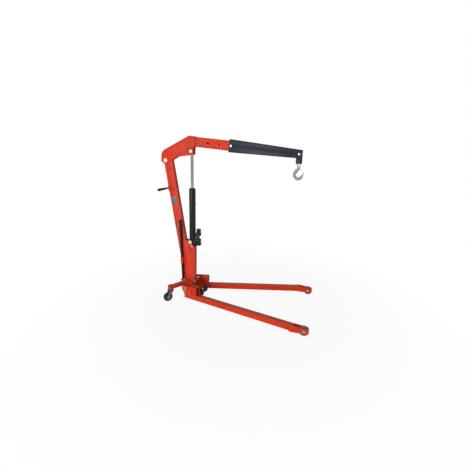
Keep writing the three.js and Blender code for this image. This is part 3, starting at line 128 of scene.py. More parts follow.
def tone(code):
    """A colour written as on a paint card, as the linear values that a shader takes."""
    values = [int(code[i:i + 2], 16) / 255 for i in (1, 3, 5)]
    return tuple(v / 12.92 if v <= 0.04045 else ((v + 0.055) / 1.055) ** 2.4 for v in values) + (1.0,)


def map_range(nodes, cut, to_low, to_high):
    """A node that spreads a cut of its value over another range."""
    node = nodes.new("ShaderNodeMapRange")
    for socket, number in zip(("From Min", "From Max", "To Min", "To Max"), (*cut, to_low, to_high)):
        node.inputs[socket].default_value = number
    return node


def finish(name, light, dark, roughness, grain, relief, metallic=0.0, coat=0.0, shine=0.5, patch=7.0,
           stretch=(1, 1, 1), worn=None, dust_and_sheen=None, dust_and_sheen_share=0.75):
    """A surface with soft colour clouds, a fine grain and, where given, worn edges and a tint on upward
    faces, which is settled dust on most surfaces and a painted highlight on the sleeve.
    """
    made = bpy.data.materials.new(name)
    made.use_nodes = True
    nodes, links = made.node_tree.nodes, made.node_tree.links
    shader = nodes["Principled BSDF"]
    shader.inputs["Metallic"].default_value = metallic
    shader.inputs["Coat Weight"].default_value = coat
    shader.inputs["Coat Roughness"].default_value = COAT_ROUGHNESS
    shader.inputs["Specular IOR Level"].default_value = shine

    place = nodes.new("ShaderNodeTexCoord")
    turn = nodes.new("ShaderNodeMapping")
    turn.inputs["Scale"].default_value = stretch
    links.new(place.outputs["Object"], turn.inputs["Vector"])

    def noise(scale, detail=PLAIN_DETAIL):
        node = nodes.new("ShaderNodeTexNoise")
        node.inputs["Scale"].default_value = scale
        node.inputs["Detail"].default_value = detail
        links.new(turn.outputs["Vector"], node.inputs["Vector"])
        return node.outputs["Fac"]

    def spread(value, cut, to_low, to_high):
        node = map_range(nodes, cut, to_low, to_high)
        links.new(value, node.inputs["Value"])
        return node.outputs["Result"]

    def times(one, two):
        node = nodes.new("ShaderNodeMath")
        node.operation = "MULTIPLY"
        links.new(one, node.inputs[0])
        links.new(two, node.inputs[1])
        return node.outputs[0]

    def blend(factor, one, two):
        node = nodes.new("ShaderNodeMix")
        node.data_type = "RGBA"
        links.new(factor, node.inputs[0])
        # The node's colour sockets are its seventh and eighth
        for socket, colour in ((6, one), (7, two)):
            if isinstance(colour, tuple):
                node.inputs[socket].default_value = colour
            else:
                links.new(colour, node.inputs[socket])
        return node.outputs[2]

    clouds = spread(noise(patch), CLOUD_CUT, 0, 1)
    colour = blend(clouds, tone(dark), tone(light))
    # Upward faces take a tint: settled dust on most surfaces, a painted highlight on the sleeve.
    if dust_and_sheen:
        facing = nodes.new("ShaderNodeNewGeometry")
        split = nodes.new("ShaderNodeSeparateXYZ")
        links.new(facing.outputs["Normal"], split.inputs[0])
        upward = spread(split.outputs["Z"], DUST_AND_SHEEN_SLOPE, 0, 1)
        patches = spread(noise(DUST_AND_SHEEN_PATCH, FINE_DETAIL), DUST_AND_SHEEN_CUT, dust_and_sheen_share / 3, dust_and_sheen_share)
        colour = blend(times(upward, patches), colour, tone(dust_and_sheen))
    if worn:
        flat = nodes.new("ShaderNodeNewGeometry")
        soft = nodes.new("ShaderNodeBevel")
        soft.samples = WORN_SAMPLES
        soft.inputs["Radius"].default_value = WORN_REACH
        turn_by = nodes.new("ShaderNodeVectorMath")
        turn_by.operation = "DOT_PRODUCT"
        links.new(flat.outputs["Normal"], turn_by.inputs[0])
        links.new(soft.outputs["Normal"], turn_by.inputs[1])
        sharp = spread(turn_by.outputs["Value"], WORN_TURN, 0, WORN_SHARE)
        patches = spread(noise(WORN_PATCH, FINE_DETAIL), WORN_CUT, 0, 1)
        colour = blend(times(sharp, patches), colour, tone(worn))
    links.new(colour, shader.inputs["Base Color"])
    gloss = spread(noise(patch * GLOSS_PATCHES), GLOSS_CUT, roughness * MOST_GLOSS, roughness * LEAST_GLOSS)
    links.new(gloss, shader.inputs["Roughness"])
    bump = nodes.new("ShaderNodeBump")
    bump.inputs["Strength"].default_value = relief
    bump.inputs["Distance"].default_value = GRAIN_DEPTH
    links.new(noise(grain, GRAIN_DETAIL), bump.inputs["Height"])
    links.new(bump.outputs["Normal"], shader.inputs["Normal"])
    return made


# Upward faces of the red paint turn grey-brown in patches, up to nine tenths of the way.
RED = finish("orange_red_paint", "#d9380f", "#cb2f0c", 0.46, grain=420.0, relief=0.03, coat=0.05, shine=0.15,
             worn="#e0714f", dust_and_sheen="#6d5048", dust_and_sheen_share=0.9)
BLACK = finish("black_enamel", "#141517", "#0f1012", 0.36, grain=420.0, relief=0.03, coat=0.08, shine=0.2,
               worn="#4a4d52", dust_and_sheen="#2c2e31")
# The light grey on the sleeve's upward faces is a painted highlight: it stands for the bright strip that
# reflection gives along its rounded top edge.
SLEEVE = finish("blue_black_enamel", "#2a303c", "#212731", 0.38, grain=420.0, relief=0.03, coat=0.05,
                shine=0.15, worn="#5d626b", dust_and_sheen="#7b808a", dust_and_sheen_share=0.9)
ZINC = finish("bright_zinc_plating", "#cfccb8", "#b3b19d", 0.34, grain=900.0, relief=0.06, metallic=0.7,
              patch=60.0, worn="#dedccf")
AGED_ZINC = finish("aged_zinc_plating", "#a0957f", "#7d7464", 0.42, grain=900.0, relief=0.08, metallic=0.6,
                   patch=60.0, worn="#c4bba6")
DARK_STEEL = finish("oiled_steel", "#414245", "#2e2f31", 0.42, grain=900.0, relief=0.08, metallic=0.5,
                    patch=60.0, worn="#7d7e80")
FORK_STEEL = finish("dull_zinc_plating", "#6a6c6f", "#55575a", 0.4, grain=900.0, relief=0.08, metallic=0.6,
                    patch=60.0, worn="#9a9b9c")
CHROME = finish("hard_chrome", "#96959d", "#85848c", 0.16, grain=1500.0, relief=0.02, metallic=1.0,
                patch=20.0, stretch=(1, 1, 0.2))
GALVANISED = finish("galvanised_forging", "#9aa0a6", "#7b828a", 0.45, grain=500.0, relief=0.2, metallic=0.6,
                    patch=90.0, worn="#b9bec3")
GRIP_RUBBER = finish("grip_rubber", "#1c1c1e", "#141415", 0.72, grain=1200.0, relief=0.2, patch=30.0,
                     dust_and_sheen="#2e2e30")
TYRE = finish("tyre_rubber", "#232425", "#191a1b", 0.78, grain=900.0, relief=0.25, patch=30.0, worn="#434344",
              dust_and_sheen="#343435")
FRONT_TYRE = finish("front_wheel_nylon", "#4a4745", "#3c3a38", 0.5, grain=900.0, relief=0.15, patch=30.0,
                    worn="#6d6a67", dust_and_sheen="#7a736e")
CORE = finish("wheel_core_nylon", "#34363a", "#292b2e", 0.45, grain=900.0, relief=0.1, patch=40.0,
              worn="#515458")
PLATE = finish("bare_plate", "#6f6561", "#5d5553", 0.45, grain=1400.0, relief=0.06, metallic=0.3, patch=50.0,
               stretch=(1, 1, 8))
SEAL = finish("wiper_seal", "#241f1d", "#1b1817", 0.5, grain=900.0, relief=0.1, patch=50.0)

# The surface that goes with each material slot, and the pieces that look otherwise
FINISH_OF = {"red_paint": RED, "black_paint": BLACK, "zinc": ZINC, "chrome_rod": CHROME,
             "forged_hook": GALVANISED, "rubber_grip": GRIP_RUBBER, "wheel_nylon": TYRE}
OWN_FINISH = {node: material for material, nodes in (
    (AGED_ZINC, both("leg_pivot_bolt", "leg_lock_pin", "front_axle")),
    (SLEEVE, ["boom_sleeve", *both("yoke_plate")]),
    (FORK_STEEL, both("caster_fork", "rear_axle")),
    (DARK_STEEL, ["yoke_pin", "release_valve", "socket_pin", "plunger_pin", "latch_pin", "pump_plunger",
                  *both("caster_kingpin")])) for node in nodes}

# How meshes are cleaned and eased: edges sharper than the first angle are rounded, turns under the second
# are shaded smooth, faces within the third are one, and so are points within the reach, in metres
SHARP_ANGLE, SMOOTH_ANGLE, FLAT_ANGLE = math.radians(32), math.radians(35), math.radians(0.6)
EDGE_SEGMENTS = 2
MERGE_REACH = 0.00002
SAME_RADIUS = 1e-6
ROUND, FINE_ROUND, HEXAGON = 48, 64, 6


def deselect():
    if bpy.context.mode != "OBJECT":
        bpy.ops.object.mode_set(mode="OBJECT")
    bpy.ops.object.select_all(action="DESELECT")


def take(piece):
    deselect()
    piece.select_set(True)
    bpy.context.view_layer.objects.active = piece


def edit_all(piece):
    take(piece)
    bpy.ops.object.mode_set(mode="EDIT")
    bpy.ops.mesh.select_all(action="SELECT")


def settle(piece, place=None):
    """Puts a piece in place, with its place in its mesh."""
    take(piece)
    if place is not None:
        piece.matrix_world = place
    bpy.ops.object.transform_apply(location=True, rotation=True, scale=True)


def ease(piece, width):
    """Rounds the sharp edges, by a width in millimetres, and shades the rest smooth."""
    take(piece)
    bevel = piece.modifiers.new("edges", "BEVEL")
    bevel.limit_method = "ANGLE"
    bevel.angle_limit = SHARP_ANGLE
    bevel.width = width * MM
    bevel.segments = EDGE_SEGMENTS
    bevel.use_clamp_overlap = True
    bevel.miter_outer = "MITER_ARC"
    bpy.ops.object.modifier_apply(modifier=bevel.name)
    bpy.ops.object.shade_smooth_by_angle(angle=SMOOTH_ANGLE)


def hand_over(piece, material, body, slot, *replaced):
    """Gives a piece its surface and its body, and hides the nodes that it stands for; the slot is not used.
    """
    piece.data.materials.clear()
    piece.data.materials.append(material)
    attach(piece, body)
    if replaced:
        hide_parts(*replaced)
    return piece


def merged_copy(node, name):
    """A copy of a node's solid, its loose triangles merged and its flat faces made whole."""
    made = bpy.data.objects.new(name, NODES[node].data.copy())
    bpy.context.scene.collection.objects.link(made)
    edit_all(made)
    bpy.ops.mesh.remove_doubles(threshold=MERGE_REACH)
    bpy.ops.mesh.dissolve_limited(angle_limit=FLAT_ANGLE)
    deselect()
    return made


def dressed(node, width):
    """The node's own shape with eased edges, standing for it."""
    made = merged_copy(node, node + "_finished")
    ease(made, width)
    material = OWN_FINISH.get(node, FINISH_OF[SLOT_OF[node]])
    return hand_over(made, material, BODY_OF[node], SLOT_OF[node], node)


def turned(name, profile, facets):
    """A piece turned about Z: profile holds (radius, height) from the first ring to the last, in millimetres.

    A profile that doesn't come back to its start gets a flat face at each end.
    """
    deselect()
    radius, height = profile[0]
    bpy.ops.mesh.primitive_circle_add(vertices=facets, radius=radius * MM, location=(0, 0, height * MM))
    made = bpy.context.object
    made.name = name
    settle(made)
    edit_all(made)
    for next_radius, next_height in profile[1:]:
        bpy.ops.mesh.extrude_region_move(
            TRANSFORM_OT_translate={"value": (0, 0, (next_height - height) * MM)})
        share = next_radius / radius
        if abs(share - 1) > SAME_RADIUS:
            bpy.ops.transform.resize(value=(share, share, 1), center_override=(0, 0, next_height * MM))
        radius, height = next_radius, next_height
    if (radius, height) != profile[0]:
        bpy.ops.mesh.edge_face_add()
        bpy.ops.mesh.select_all(action="DESELECT")
        bpy.ops.mesh.select_non_manifold()
        bpy.ops.mesh.edge_face_add()
    bpy.ops.mesh.select_all(action="SELECT")
    bpy.ops.mesh.remove_doubles(threshold=MERGE_REACH)
    bpy.ops.mesh.normals_make_consistent(inside=False)
    deselect()
    return made


def tube_line(bore, rim, low, high):
    """The profile of a plain ring or tube."""
    return [(bore, low), (rim, low), (rim, high), (bore, high), (bore, low)]


def mirrored_line(half):
    """A closed profile from its upper half."""
    return half + [(radius, -height) for radius, height in reversed(half)] + half[:1]


def stood(centre, direction):
    """The placing that brings a turned piece's Z to a direction at a point."""
    return Matrix.Translation(centre) @ Vector(direction).to_track_quat("Z", "Y").to_matrix().to_4x4()


def turned_piece(name, profile, centre, direction, material, body, slot, *replaced, width, facets=ROUND):
    """A turned piece stood at its place, eased and handed over."""
    made = turned(name, profile, facets)
    settle(made, stood(centre, direction))
    ease(made, width)
    return hand_over(made, material, body, slot, *replaced)


def slab(name, size, centre, turn, width):
    """A block of that size in millimetres, turned and placed, with eased edges."""
    deselect()
    bpy.ops.mesh.primitive_cube_add(size=1)
    made = bpy.context.object
    made.name = name
    settle(made, Matrix.Translation(centre) @ turn @ Matrix.Diagonal((*(s * MM for s in size), 1)))
    ease(made, width)
    return made


# Each ripple of a bead is this long, and thins to this share of its size
WELD_PITCH = 1.7 * MM
WELD_THIN = 0.78


def ripples(points, pitch):
    """Points at an even pitch along a run of straight lines."""
    out = []
    for start, end in zip(points, points[1:]):
        steps = max(1, round((end - start).length / pitch))
        out += [start.lerp(end, step / steps) for step in range(steps)]
    return out + [points[-1]]


def weld(name, body, points, size):
    """A bead along a run of points, swelling and thinning as a welder's passes do."""
    curve = bpy.data.curves.new(name, "CURVE")
    curve.dimensions = "3D"
    curve.bevel_depth = size * MM
    curve.bevel_resolution = 2
    curve.use_fill_caps = True
    run = ripples([Vector(p) for p in points], WELD_PITCH)
    line = curve.splines.new("POLY")
    line.points.add(len(run) - 1)
    for i, place in enumerate(run):
        line.points[i].co = (*place, 1)
        line.points[i].radius = 1.0 if i % 2 else WELD_THIN
    made = bpy.data.objects.new(name, curve)
    bpy.context.scene.collection.objects.link(made)
    take(made)
    bpy.ops.object.convert(target="MESH")
    bpy.ops.object.shade_smooth()
    return hand_over(bpy.context.object, RED, body, "red_paint")


# Pieces that keep their solid's shape, with the width of their eased edges in millimetres
FRAME_PIECES = (
    ("base_frame", 1.1), ("mast", 1.1), ("boom_beam", 1.1), ("leg_near", 1.1), ("leg_far", 1.1),
    ("lever_holder", 0.6), ("push_bar", 0.6), ("boom_sleeve", 0.8), ("yoke_plate_near", 1.2),
    ("yoke_plate_far", 1.2), ("ram_cylinder", 0.8), ("pump_body", 1.2), ("pump_socket", 0.6),
    ("hook_latch", 0.4), ("caster_fork_near", 0.8), ("caster_fork_far", 0.8), ("ram_rod", 0.8),
    ("pump_plunger", 0.5), ("release_valve", 0.5))
BOLTS_AND_PINS = (
    ("boom_pivot_bolt", 1.4), ("ram_base_bolt", 1.4), ("ram_top_pin_near", 1.4), ("ram_top_pin_far", 1.4),
    ("sleeve_lock_pin", 0.7), ("hook_tip_bolt", 0.9), ("yoke_pin", 0.7), ("latch_pin", 0.3),
    ("socket_pin", 0.4), ("plunger_pin", 0.4), ("leg_pivot_bolt_near", 1.4), ("leg_pivot_bolt_far", 1.4),
    ("leg_lock_pin_near", 0.7), ("leg_lock_pin_far", 0.7), ("front_axle_near", 1.0), ("front_axle_far", 1.0),
    ("middle_axle_near", 0.7), ("middle_axle_far", 0.7), ("rear_axle_near", 1.0), ("rear_axle_far", 1.0),
    ("caster_kingpin_near", 1.0), ("caster_kingpin_far", 1.0))
for kept_node, edge_width in FRAME_PIECES + BOLTS_AND_PINS:
    dressed(kept_node, edge_width)


# Washers, one between each head or nut and its plate
def washers(name, body, centre, direction, seat, bore, rim, thickness):
    """A pair of washers; the seat is how far the plate's outer face is from the middle of the bolt."""
    for end, letter in ((-1, "a"), (1, "b")):
        turned_piece(f"{name}_washer_{letter}", tube_line(bore, rim, seat * end, (seat + thickness) * end),
                     centre, direction, ZINC, body, "zinc", width=0.3, facets=36)


PIVOT_WASHER = {"bore": 12.5, "rim": 21, "thickness": 1.6}
LEG_WASHER = {"bore": 10.5, "rim": 19, "thickness": 1.6}
WHEEL_WASHER = {"bore": 8.5, "rim": 14.5, "thickness": 1.2}
washers("boom_bolt", "base", PIVOT, ACROSS, seat=26.4, **PIVOT_WASHER)
washers("ram_bolt", "base", joint_place("ram_swing"), ACROSS, seat=26.2, **PIVOT_WASHER)
for side in SIDES:
    washers(f"leg_bolt_{side}", "base", joint_place("leg_fold_" + side), leg_across(side), seat=32.2,
            **LEG_WASHER)
    washers(f"front_bolt_{side}", "leg_" + side, joint_place("front_wheel_turn_" + side), ACROSS, seat=25.2,
            **WHEEL_WASHER)
    washers(f"rear_bolt_{side}", "caster_" + side, joint_place("rear_wheel_turn_" + side),
            joint_axis("rear_wheel_turn_" + side), seat=23.2, **WHEEL_WASHER)

# Wheels: a crowned tyre on a core with ribs between its hub and its rim. The tyre's flank is given as
# distances in from its tread and in from its side
TYRE_DEPTH = 13
TYRE_FLANK = ((TYRE_DEPTH, 1), (9, 0), (5, 0.6), (1.6, 4), (0.3, 9))
RIM_WALL, HUB_WALL, WALL_SLOPE, RIM_OVERLAP = 4, 7, 1, 0.2
HUB_SINK, RIM_SINK, WEB_SINK = 0.2, 2, 7
RIB_COUNT, RIB_THICKNESS, RIB_OVERLAP, RIB_SINK = 6, 3, 2, 2.6


def fit_wheel(node, joint, radius, half, bore, tread):
    """The tyre and core of a wheel, in millimetres; half is half of its width."""
    centre, axis = joint_place(joint), joint_axis(joint)
    body = BODY_OF[node]
    bed = radius - TYRE_DEPTH
    flank = [(radius - down, half - back) for down, back in TYRE_FLANK]
    tyre = flank + [(radius, 0)] + [(r, -h) for r, h in reversed(flank)] + flank[:1]
    turned_piece(node + "_tyre", tyre, centre, axis, tread, body, "wheel_nylon", node, width=1.0,
                 facets=FINE_ROUND)

    hub, rim = bore + HUB_WALL, bed - RIM_WALL
    hub_face, rim_face, web = half - HUB_SINK, half - RIM_SINK, half - WEB_SINK
    core = mirrored_line([(bore, hub_face), (hub, hub_face), (hub + WALL_SLOPE, web), (rim - WALL_SLOPE, web),
                          (rim, rim_face), (bed + RIM_OVERLAP, rim_face)])
    made = turned(node + "_core", core, FINE_ROUND)
    run = rim - hub
    rib_size = ((run + RIB_OVERLAP) * MM, RIB_THICKNESS * MM, 2 * (half - RIB_SINK) * MM, 1)
    ribs = []
    for i in range(RIB_COUNT):
        deselect()
        bpy.ops.mesh.primitive_cube_add(size=1)
        rib = bpy.context.object
        settle(rib, Matrix.Rotation(math.tau * i / RIB_COUNT, 4, "Z")
               @ Matrix.Translation(((hub + run / 2) * MM, 0, 0)) @ Matrix.Diagonal(rib_size))
        ribs.append(rib)
    deselect()
    for rib in ribs:
        rib.select_set(True)
    made.select_set(True)
    bpy.context.view_layer.objects.active = made
    bpy.ops.object.join()
    settle(made, stood(centre, axis))
    ease(made, 0.4)
    hand_over(made, CORE, body, "wheel_nylon")


# The swivel's race, as radii and heights above the floor
CASTER_RACE = [(27.3, 126), (30.4, 127), (30.4, 136), (27.3, 136.5), (27.3, 126)]
for side in SIDES:
    fit_wheel("front_wheel_" + side, "front_wheel_turn_" + side, radius=46, half=17, bore=8.5,
              tread=FRONT_TYRE)
    fit_wheel("middle_wheel_" + side, "middle_wheel_turn_" + side, radius=50, half=14, bore=6.5, tread=TYRE)
    fit_wheel("rear_wheel_" + side, "rear_wheel_turn_" + side, radius=50, half=16, bore=8.5, tread=TYRE)
    pin = joint_place("caster_swivel_" + side)
    turned_piece(f"caster_race_{side}", CASTER_RACE, Vector((pin.x, pin.y, 0)), UP, DARK_STEEL,
                 "caster_" + side, "zinc", width=0.5, facets=FINE_ROUND)

# Hook: the forging's shape, with its facets melted together
SKIN_GRAIN = 1.3 * MM
SKIN_SMOOTHING, SKIN_PASSES = 0.5, 7


def forge(node):
    """A node's shape as one smooth skin, standing for it."""
    made = merged_copy(node, node + "_forging")
    take(made)
    remesh = made.modifiers.new("skin", "REMESH")
    remesh.mode = "VOXEL"
    remesh.voxel_size = SKIN_GRAIN
    bpy.ops.object.modifier_apply(modifier=remesh.name)
    smooth = made.modifiers.new("smooth", "SMOOTH")
    smooth.factor = SKIN_SMOOTHING
    smooth.iterations = SKIN_PASSES
    bpy.ops.object.modifier_apply(modifier=smooth.name)
    bpy.ops.object.shade_smooth()
    return hand_over(made, GALVANISED, BODY_OF[node], SLOT_OF[node], node)


forge("hook")


def grip_rings(count, start, pitch, radius, growth, crown, land, groove, depth):
    """The profile of a grip's finger rings: each swells to its crown over a land, then drops to a groove."""
    line = []
    for ring in range(count):
        low = start + ring * pitch
        swell = radius + growth * ring
        line += [(swell, low), (swell + crown, low + land)]
        line += [(swell - depth, low + end) for end in groove]
    return line


# Pump lever and its grip, in millimetres
LEVER_BORE, LEVER_RADIUS = 10, 12.5
lever_low, lever_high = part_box("pump_lever")
lever_centre = Vector(((lever_low.x + lever_high.x) / 2, (lever_low.y + lever_high.y) / 2, 0))
turned_piece("pump_lever_tube", tube_line(LEVER_BORE, LEVER_RADIUS, lever_low.z / MM, lever_high.z / MM),
             lever_centre, UP, BLACK, "pump_lever", "black_paint", "pump_lever", width=0.6)
GRIP_BORE = 12.9
grip_low, grip_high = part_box("lever_grip")
start, end = grip_low.z / MM, grip_high.z / MM
lever_rings = grip_rings(9, start + 8, 11.5, radius=14.6, growth=0.14, crown=0.2, land=7.5,
                         groove=(8.8, 10.2), depth=0.9)
lever_moulding = [(GRIP_BORE, start), (14.4, start), (14.8, start + 4), *lever_rings, (15.8, end - 12),
                  (15.9, end - 7), (14.2, end - 2.4), (10, end - 0.4), (3, end), (3, end - 7.6),
                  (GRIP_BORE, end - 7.7), (GRIP_BORE, start)]
turned_piece("lever_grip_moulding", lever_moulding, lever_centre, UP, GRIP_RUBBER, "pump_lever",
             "rubber_grip", "lever_grip", width=0.35)

# Grips on the push bar, swelling towards their ends, with heights counted back from the end
BAR_GRIP_BORE, BAR_GRIP_START = 9.3, -126
bar_rings = grip_rings(7, -106, 12, radius=11.7, growth=0.3, crown=0.25, land=8.4, groove=(9.6, 10.6),
                       depth=0.7)
bar_moulding = [(BAR_GRIP_BORE, BAR_GRIP_START), (11, BAR_GRIP_START), (11.6, -112), *bar_rings, (13.8, -18),
                (13.95, -8), (12.6, -2.4), (8.6, -0.3), (2, 0), (2, -4.8), (BAR_GRIP_BORE, -4.9),
                (BAR_GRIP_BORE, BAR_GRIP_START)]
for side, sign in SIDES.items():
    low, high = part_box("push_grip_" + side)
    centre = Vector(((low.x + high.x) / 2, low.y if sign < 0 else high.y, (low.z + high.z) / 2))
    turned_piece("push_grip_moulding_" + side, bar_moulding, centre, (0, sign, 0), GRIP_RUBBER, "base",
                 "rubber_grip", "push_grip_" + side, width=0.35)

# Ram: gland collar, wiper and the bead round the foot, as radii and heights up its middle line
GLAND_COLLAR = [(19, 562), (34.8, 562), (35.4, 563), (35.4, 567), (34.6, 568), (19, 568), (19, 562)]
WIPER = [(15.7, 580), (19, 580), (18.4, 585), (16.4, 586), (15.7, 585), (15.7, 580)]
RAM_FOOT_WELD = [(33.4, 27.5), (35.4, 28.5), (36, 30.6), (34.2, 33), (33.4, 33), (33.4, 27.5)]
RAM_RINGS = (("ram_gland_collar", GLAND_COLLAR, BLACK, 0.4, FINE_ROUND),
             ("ram_wiper", WIPER, SEAL, 0.4, ROUND),
             ("ram_foot_weld", RAM_FOOT_WELD, BLACK, 0.5, FINE_ROUND))
for name, profile, material, edge_width, facets in RAM_RINGS:
    turned_piece(name, profile, on_ram(0, 0, 0), RAM_UP, material, "ram_cylinder", "black_paint",
                 width=edge_width, facets=facets)

# Rating plate without any marking, on four rivets
PLATE_PLACE, PLATE_SIZE = (69, -21.6, 1082), (62, 1.2, 84)
RIVET = [(2.4, 0), (2.2, 0.7), (1.2, 1.2), (0.4, 1.3)]
RIVET_AHEAD, RIVET_RISE = 27, 38
plate_turn = Matrix.Rotation(-MAST_LEAN, 4, "Y")
plate_centre = at(*PLATE_PLACE)
hand_over(slab("bare_rating_plate", PLATE_SIZE, plate_centre, plate_turn, width=0.4), PLATE, "base", "zinc")
for i, (ahead, rise) in enumerate(((-1, -1), (1, -1), (1, 1), (-1, 1))):
    spot = plate_centre + plate_turn @ Vector(
        (ahead * RIVET_AHEAD * MM, -PLATE_SIZE[1] / 2 * MM, rise * RIVET_RISE * MM))
    turned_piece(f"plate_rivet_{i}", RIVET, spot, (0, -1, 0), ZINC, "base", "zinc", width=0.1, facets=20)

# Foot bolts: a washer, a hexagon head and the thread below it
FOOT_BOLTS = ((278, -52), (278, 52), (154, -52), (154, 52))
BOLT_SEAT, WASHER_TOP, WASHER_BORE, WASHER_RIM = 198.3, 198.3 + 1.6, 6.4, 12
FOOT_BOLT_HEAD = [(9.2, WASHER_TOP), (9.2, BOLT_SEAT + 7), (8.0, BOLT_SEAT + 8)]
FOOT_BOLT_THREAD = [(5.9, BOLT_SEAT - 26), (5.9, BOLT_SEAT + 2)]
for i, (x, y) in enumerate(FOOT_BOLTS):
    turned_piece(f"foot_bolt_washer_{i}", tube_line(WASHER_BORE, WASHER_RIM, BOLT_SEAT, WASHER_TOP),
                 at(x, y, 0), UP, ZINC, "base", "zinc", width=0.25, facets=32)
    for part, profile, facets, edge_width in (("head", FOOT_BOLT_HEAD, HEXAGON, 0.5),
                                              ("thread", FOOT_BOLT_THREAD, 24, 0.6)):
        made = turned(f"foot_bolt_{part}_{i}", profile, facets)
        settle(made, Matrix.Translation(at(x, y, 0)))
        ease(made, edge_width)
        hand_over(made, ZINC, "base", "zinc")

# Weld beads round the mast's foot, along the gooseneck's seam and over the column's cheeks
FOOT_TOP, MAST_REAR, COLUMN_FRONT, HALF_COLUMN = 198.6, 140.5, 268.4, 26.2
NECK_SEAM, HALF_NECK = ((315.6, 166), (315.6, 225), (309, 262)), 23.6
CHEEK_REAR, CHEEK_FRONT, CHEEK_TOP, HALF_MAST = 96.5, 184.6, 662.4, 21.4
foot_ring = [at(x, y, FOOT_TOP) for x, y in ((MAST_REAR, -HALF_COLUMN), (COLUMN_FRONT, -HALF_COLUMN),
                                             (COLUMN_FRONT, HALF_COLUMN), (MAST_REAR, HALF_COLUMN))]
weld("mast_foot_weld", "base", foot_ring + foot_ring[:1], size=3)
for side, sign in SIDES.items():
    weld(f"neck_seam_weld_{side}", "boom", [on_boom(along, sign * HALF_NECK, up) for along, up in NECK_SEAM],
         size=2.2)
    weld(f"cheek_top_weld_{side}", "base",
         [at(x, sign * HALF_MAST, CHEEK_TOP) for x in (CHEEK_REAR, CHEEK_FRONT)], size=2.2)

# Second, small bolt through the column's cheeks; each end is a washer and a head in one
CHEEK_BOLT_AHEAD, CHEEK_BOLT_UP = 252, 592
CHEEK_BOLT = [(9.5, 26.2), (9.5, 27.4), (6.8, 27.4), (6.8, 31.2), (5.6, 32.2)]
for side, sign in SIDES.items():
    turned_piece(f"cheek_bolt_{side}", CHEEK_BOLT, at(CHEEK_BOLT_AHEAD, 0, CHEEK_BOLT_UP), (0, sign, 0), ZINC,
                 "base", "zinc", width=0.3, facets=24)

# Short beads up the rear edge of the column's cheeks
STITCH_COUNT, STITCH_START, STITCH_PITCH, STITCH_LENGTH, STITCH_ACROSS = 5, 236, 92, 36, 21.6
REAR_EDGE_TOP = 662
# Beads round the root of each rear arm, where it meets the crossbeam
ARM_BOSS, ARM_ROOT, ARM_WELD_AHEAD, HALF_ARM = (50, 185, 154), (152, 64, 166), 139.6, 20.3
# Beads on the middle wheels' fork plates, whose inner faces stand a gap away from the wheel
FORK_ACROSS, HALF_WHEEL, FORK_GAP, HALF_PLATE = 54, 14, 2.5, 2
FORK_WELD_AHEAD, FORK_WELD_HEIGHTS = 268.4, (114, 164)
# Beads along the seams of the legs' boxed roots
LEG_SEAM, LEG_SEAM_ACROSS, LEG_SEAM_UP = (64, 148), 25.2, 91.3


def rear_edge(height):
    """The mast's x at the rear edge of the column's cheeks."""
    return CHEEK_REAR + (REAR_EDGE_TOP - height) * math.tan(MAST_LEAN)


for side, sign in SIDES.items():
    for i in range(STITCH_COUNT):
        stitch = STITCH_START + STITCH_PITCH * i
        weld(f"column_stitch_weld_{side}_{i}", "base",
             [at(rear_edge(z), sign * STITCH_ACROSS, z) for z in (stitch, stitch + STITCH_LENGTH)], size=2)

    boss, root = (at(x, sign * y, z) for x, y, z in (ARM_BOSS, ARM_ROOT))
    arm = (boss - root).normalized()
    arm_over = UP.cross(arm).normalized()
    arm_up = arm.cross(arm_over)
    ring = []
    for over, up in ((-1, 1), (-1, -1), (1, -1), (1, 1)):
        corner = root + (arm_over * (over * HALF_ARM) + arm_up * (up * HALF_ARM)) * MM
        ring.append(corner + arm * ((at(ARM_WELD_AHEAD, 0, 0).x - corner.x) / arm.x))
    weld(f"arm_root_weld_{side}", "base", ring + ring[:1], size=2.4)

    for half in (-1, 1):
        for face in (-1, 1):
            across = sign * FORK_ACROSS + half * (HALF_WHEEL + FORK_GAP + HALF_PLATE + face * HALF_PLATE)
            weld(f"fork_weld_{side}_{half + 1}_{face + 1}", "base",
                 [at(FORK_WELD_AHEAD, across, z) for z in FORK_WELD_HEIGHTS], size=1.8)

    for edge, letter in ((-LEG_SEAM_ACROSS, "a"), (LEG_SEAM_ACROSS, "b")):
        weld(f"root_weld_{side}_{letter}", "leg_" + side,
             [on_leg(side, along, edge, LEG_SEAM_UP) for along in LEG_SEAM], size=2)

# Plugs on the pump block, as ahead, across and up from the foot of the ram's middle line
PUMP_PLUG = [(8.4, 0), (8.4, 4.4), (7.4, 5.4)]
PLUG_PLACES = ((62, -23.3, 22), (62, 23.3, 2))
for i, (place, sign) in enumerate(zip(PLUG_PLACES, SIDES.values())):
    turned_piece(f"pump_plug_{i}", PUMP_PLUG, on_ram(*place), (0, sign, 0), DARK_STEEL, "ram_cylinder",
                 "zinc", width=0.3, facets=HEXAGON)

# Studio: a white floor that glows for the eye alone, fading near the crane so that a soft shadow shows
FLOOR_SIZE, PAPER_WHITE, PAPER_ROUGHNESS = 60, (0.93, 0.93, 0.93, 1), 0.9
FADE_START, FADE_END, NEAR_SHARE, FAR_SHARE = 0.9, 2.2, 0.9, 1.0
# Air: brighter on the side that the light comes from
AIR_WAY, AIR_CUT, AIR_DIM, AIR_BRIGHT = (-0.5, -0.85, 0.15), (-0.7, 1.0), 0.06, 0.75


def background_rays(nodes, links):
    """One for the rays that see the backdrop, straight or in metal, and nothing for those that light."""
    rays = nodes.new("ShaderNodeLightPath")
    seen = rays.outputs["Is Camera Ray"]
    for kind in ("Is Glossy Ray", "Is Transmission Ray"):
        either = nodes.new("ShaderNodeMath")
        either.operation = "MAXIMUM"
        links.new(seen, either.inputs[0])
        links.new(rays.outputs[kind], either.inputs[1])
        seen = either.outputs[0]
    return seen


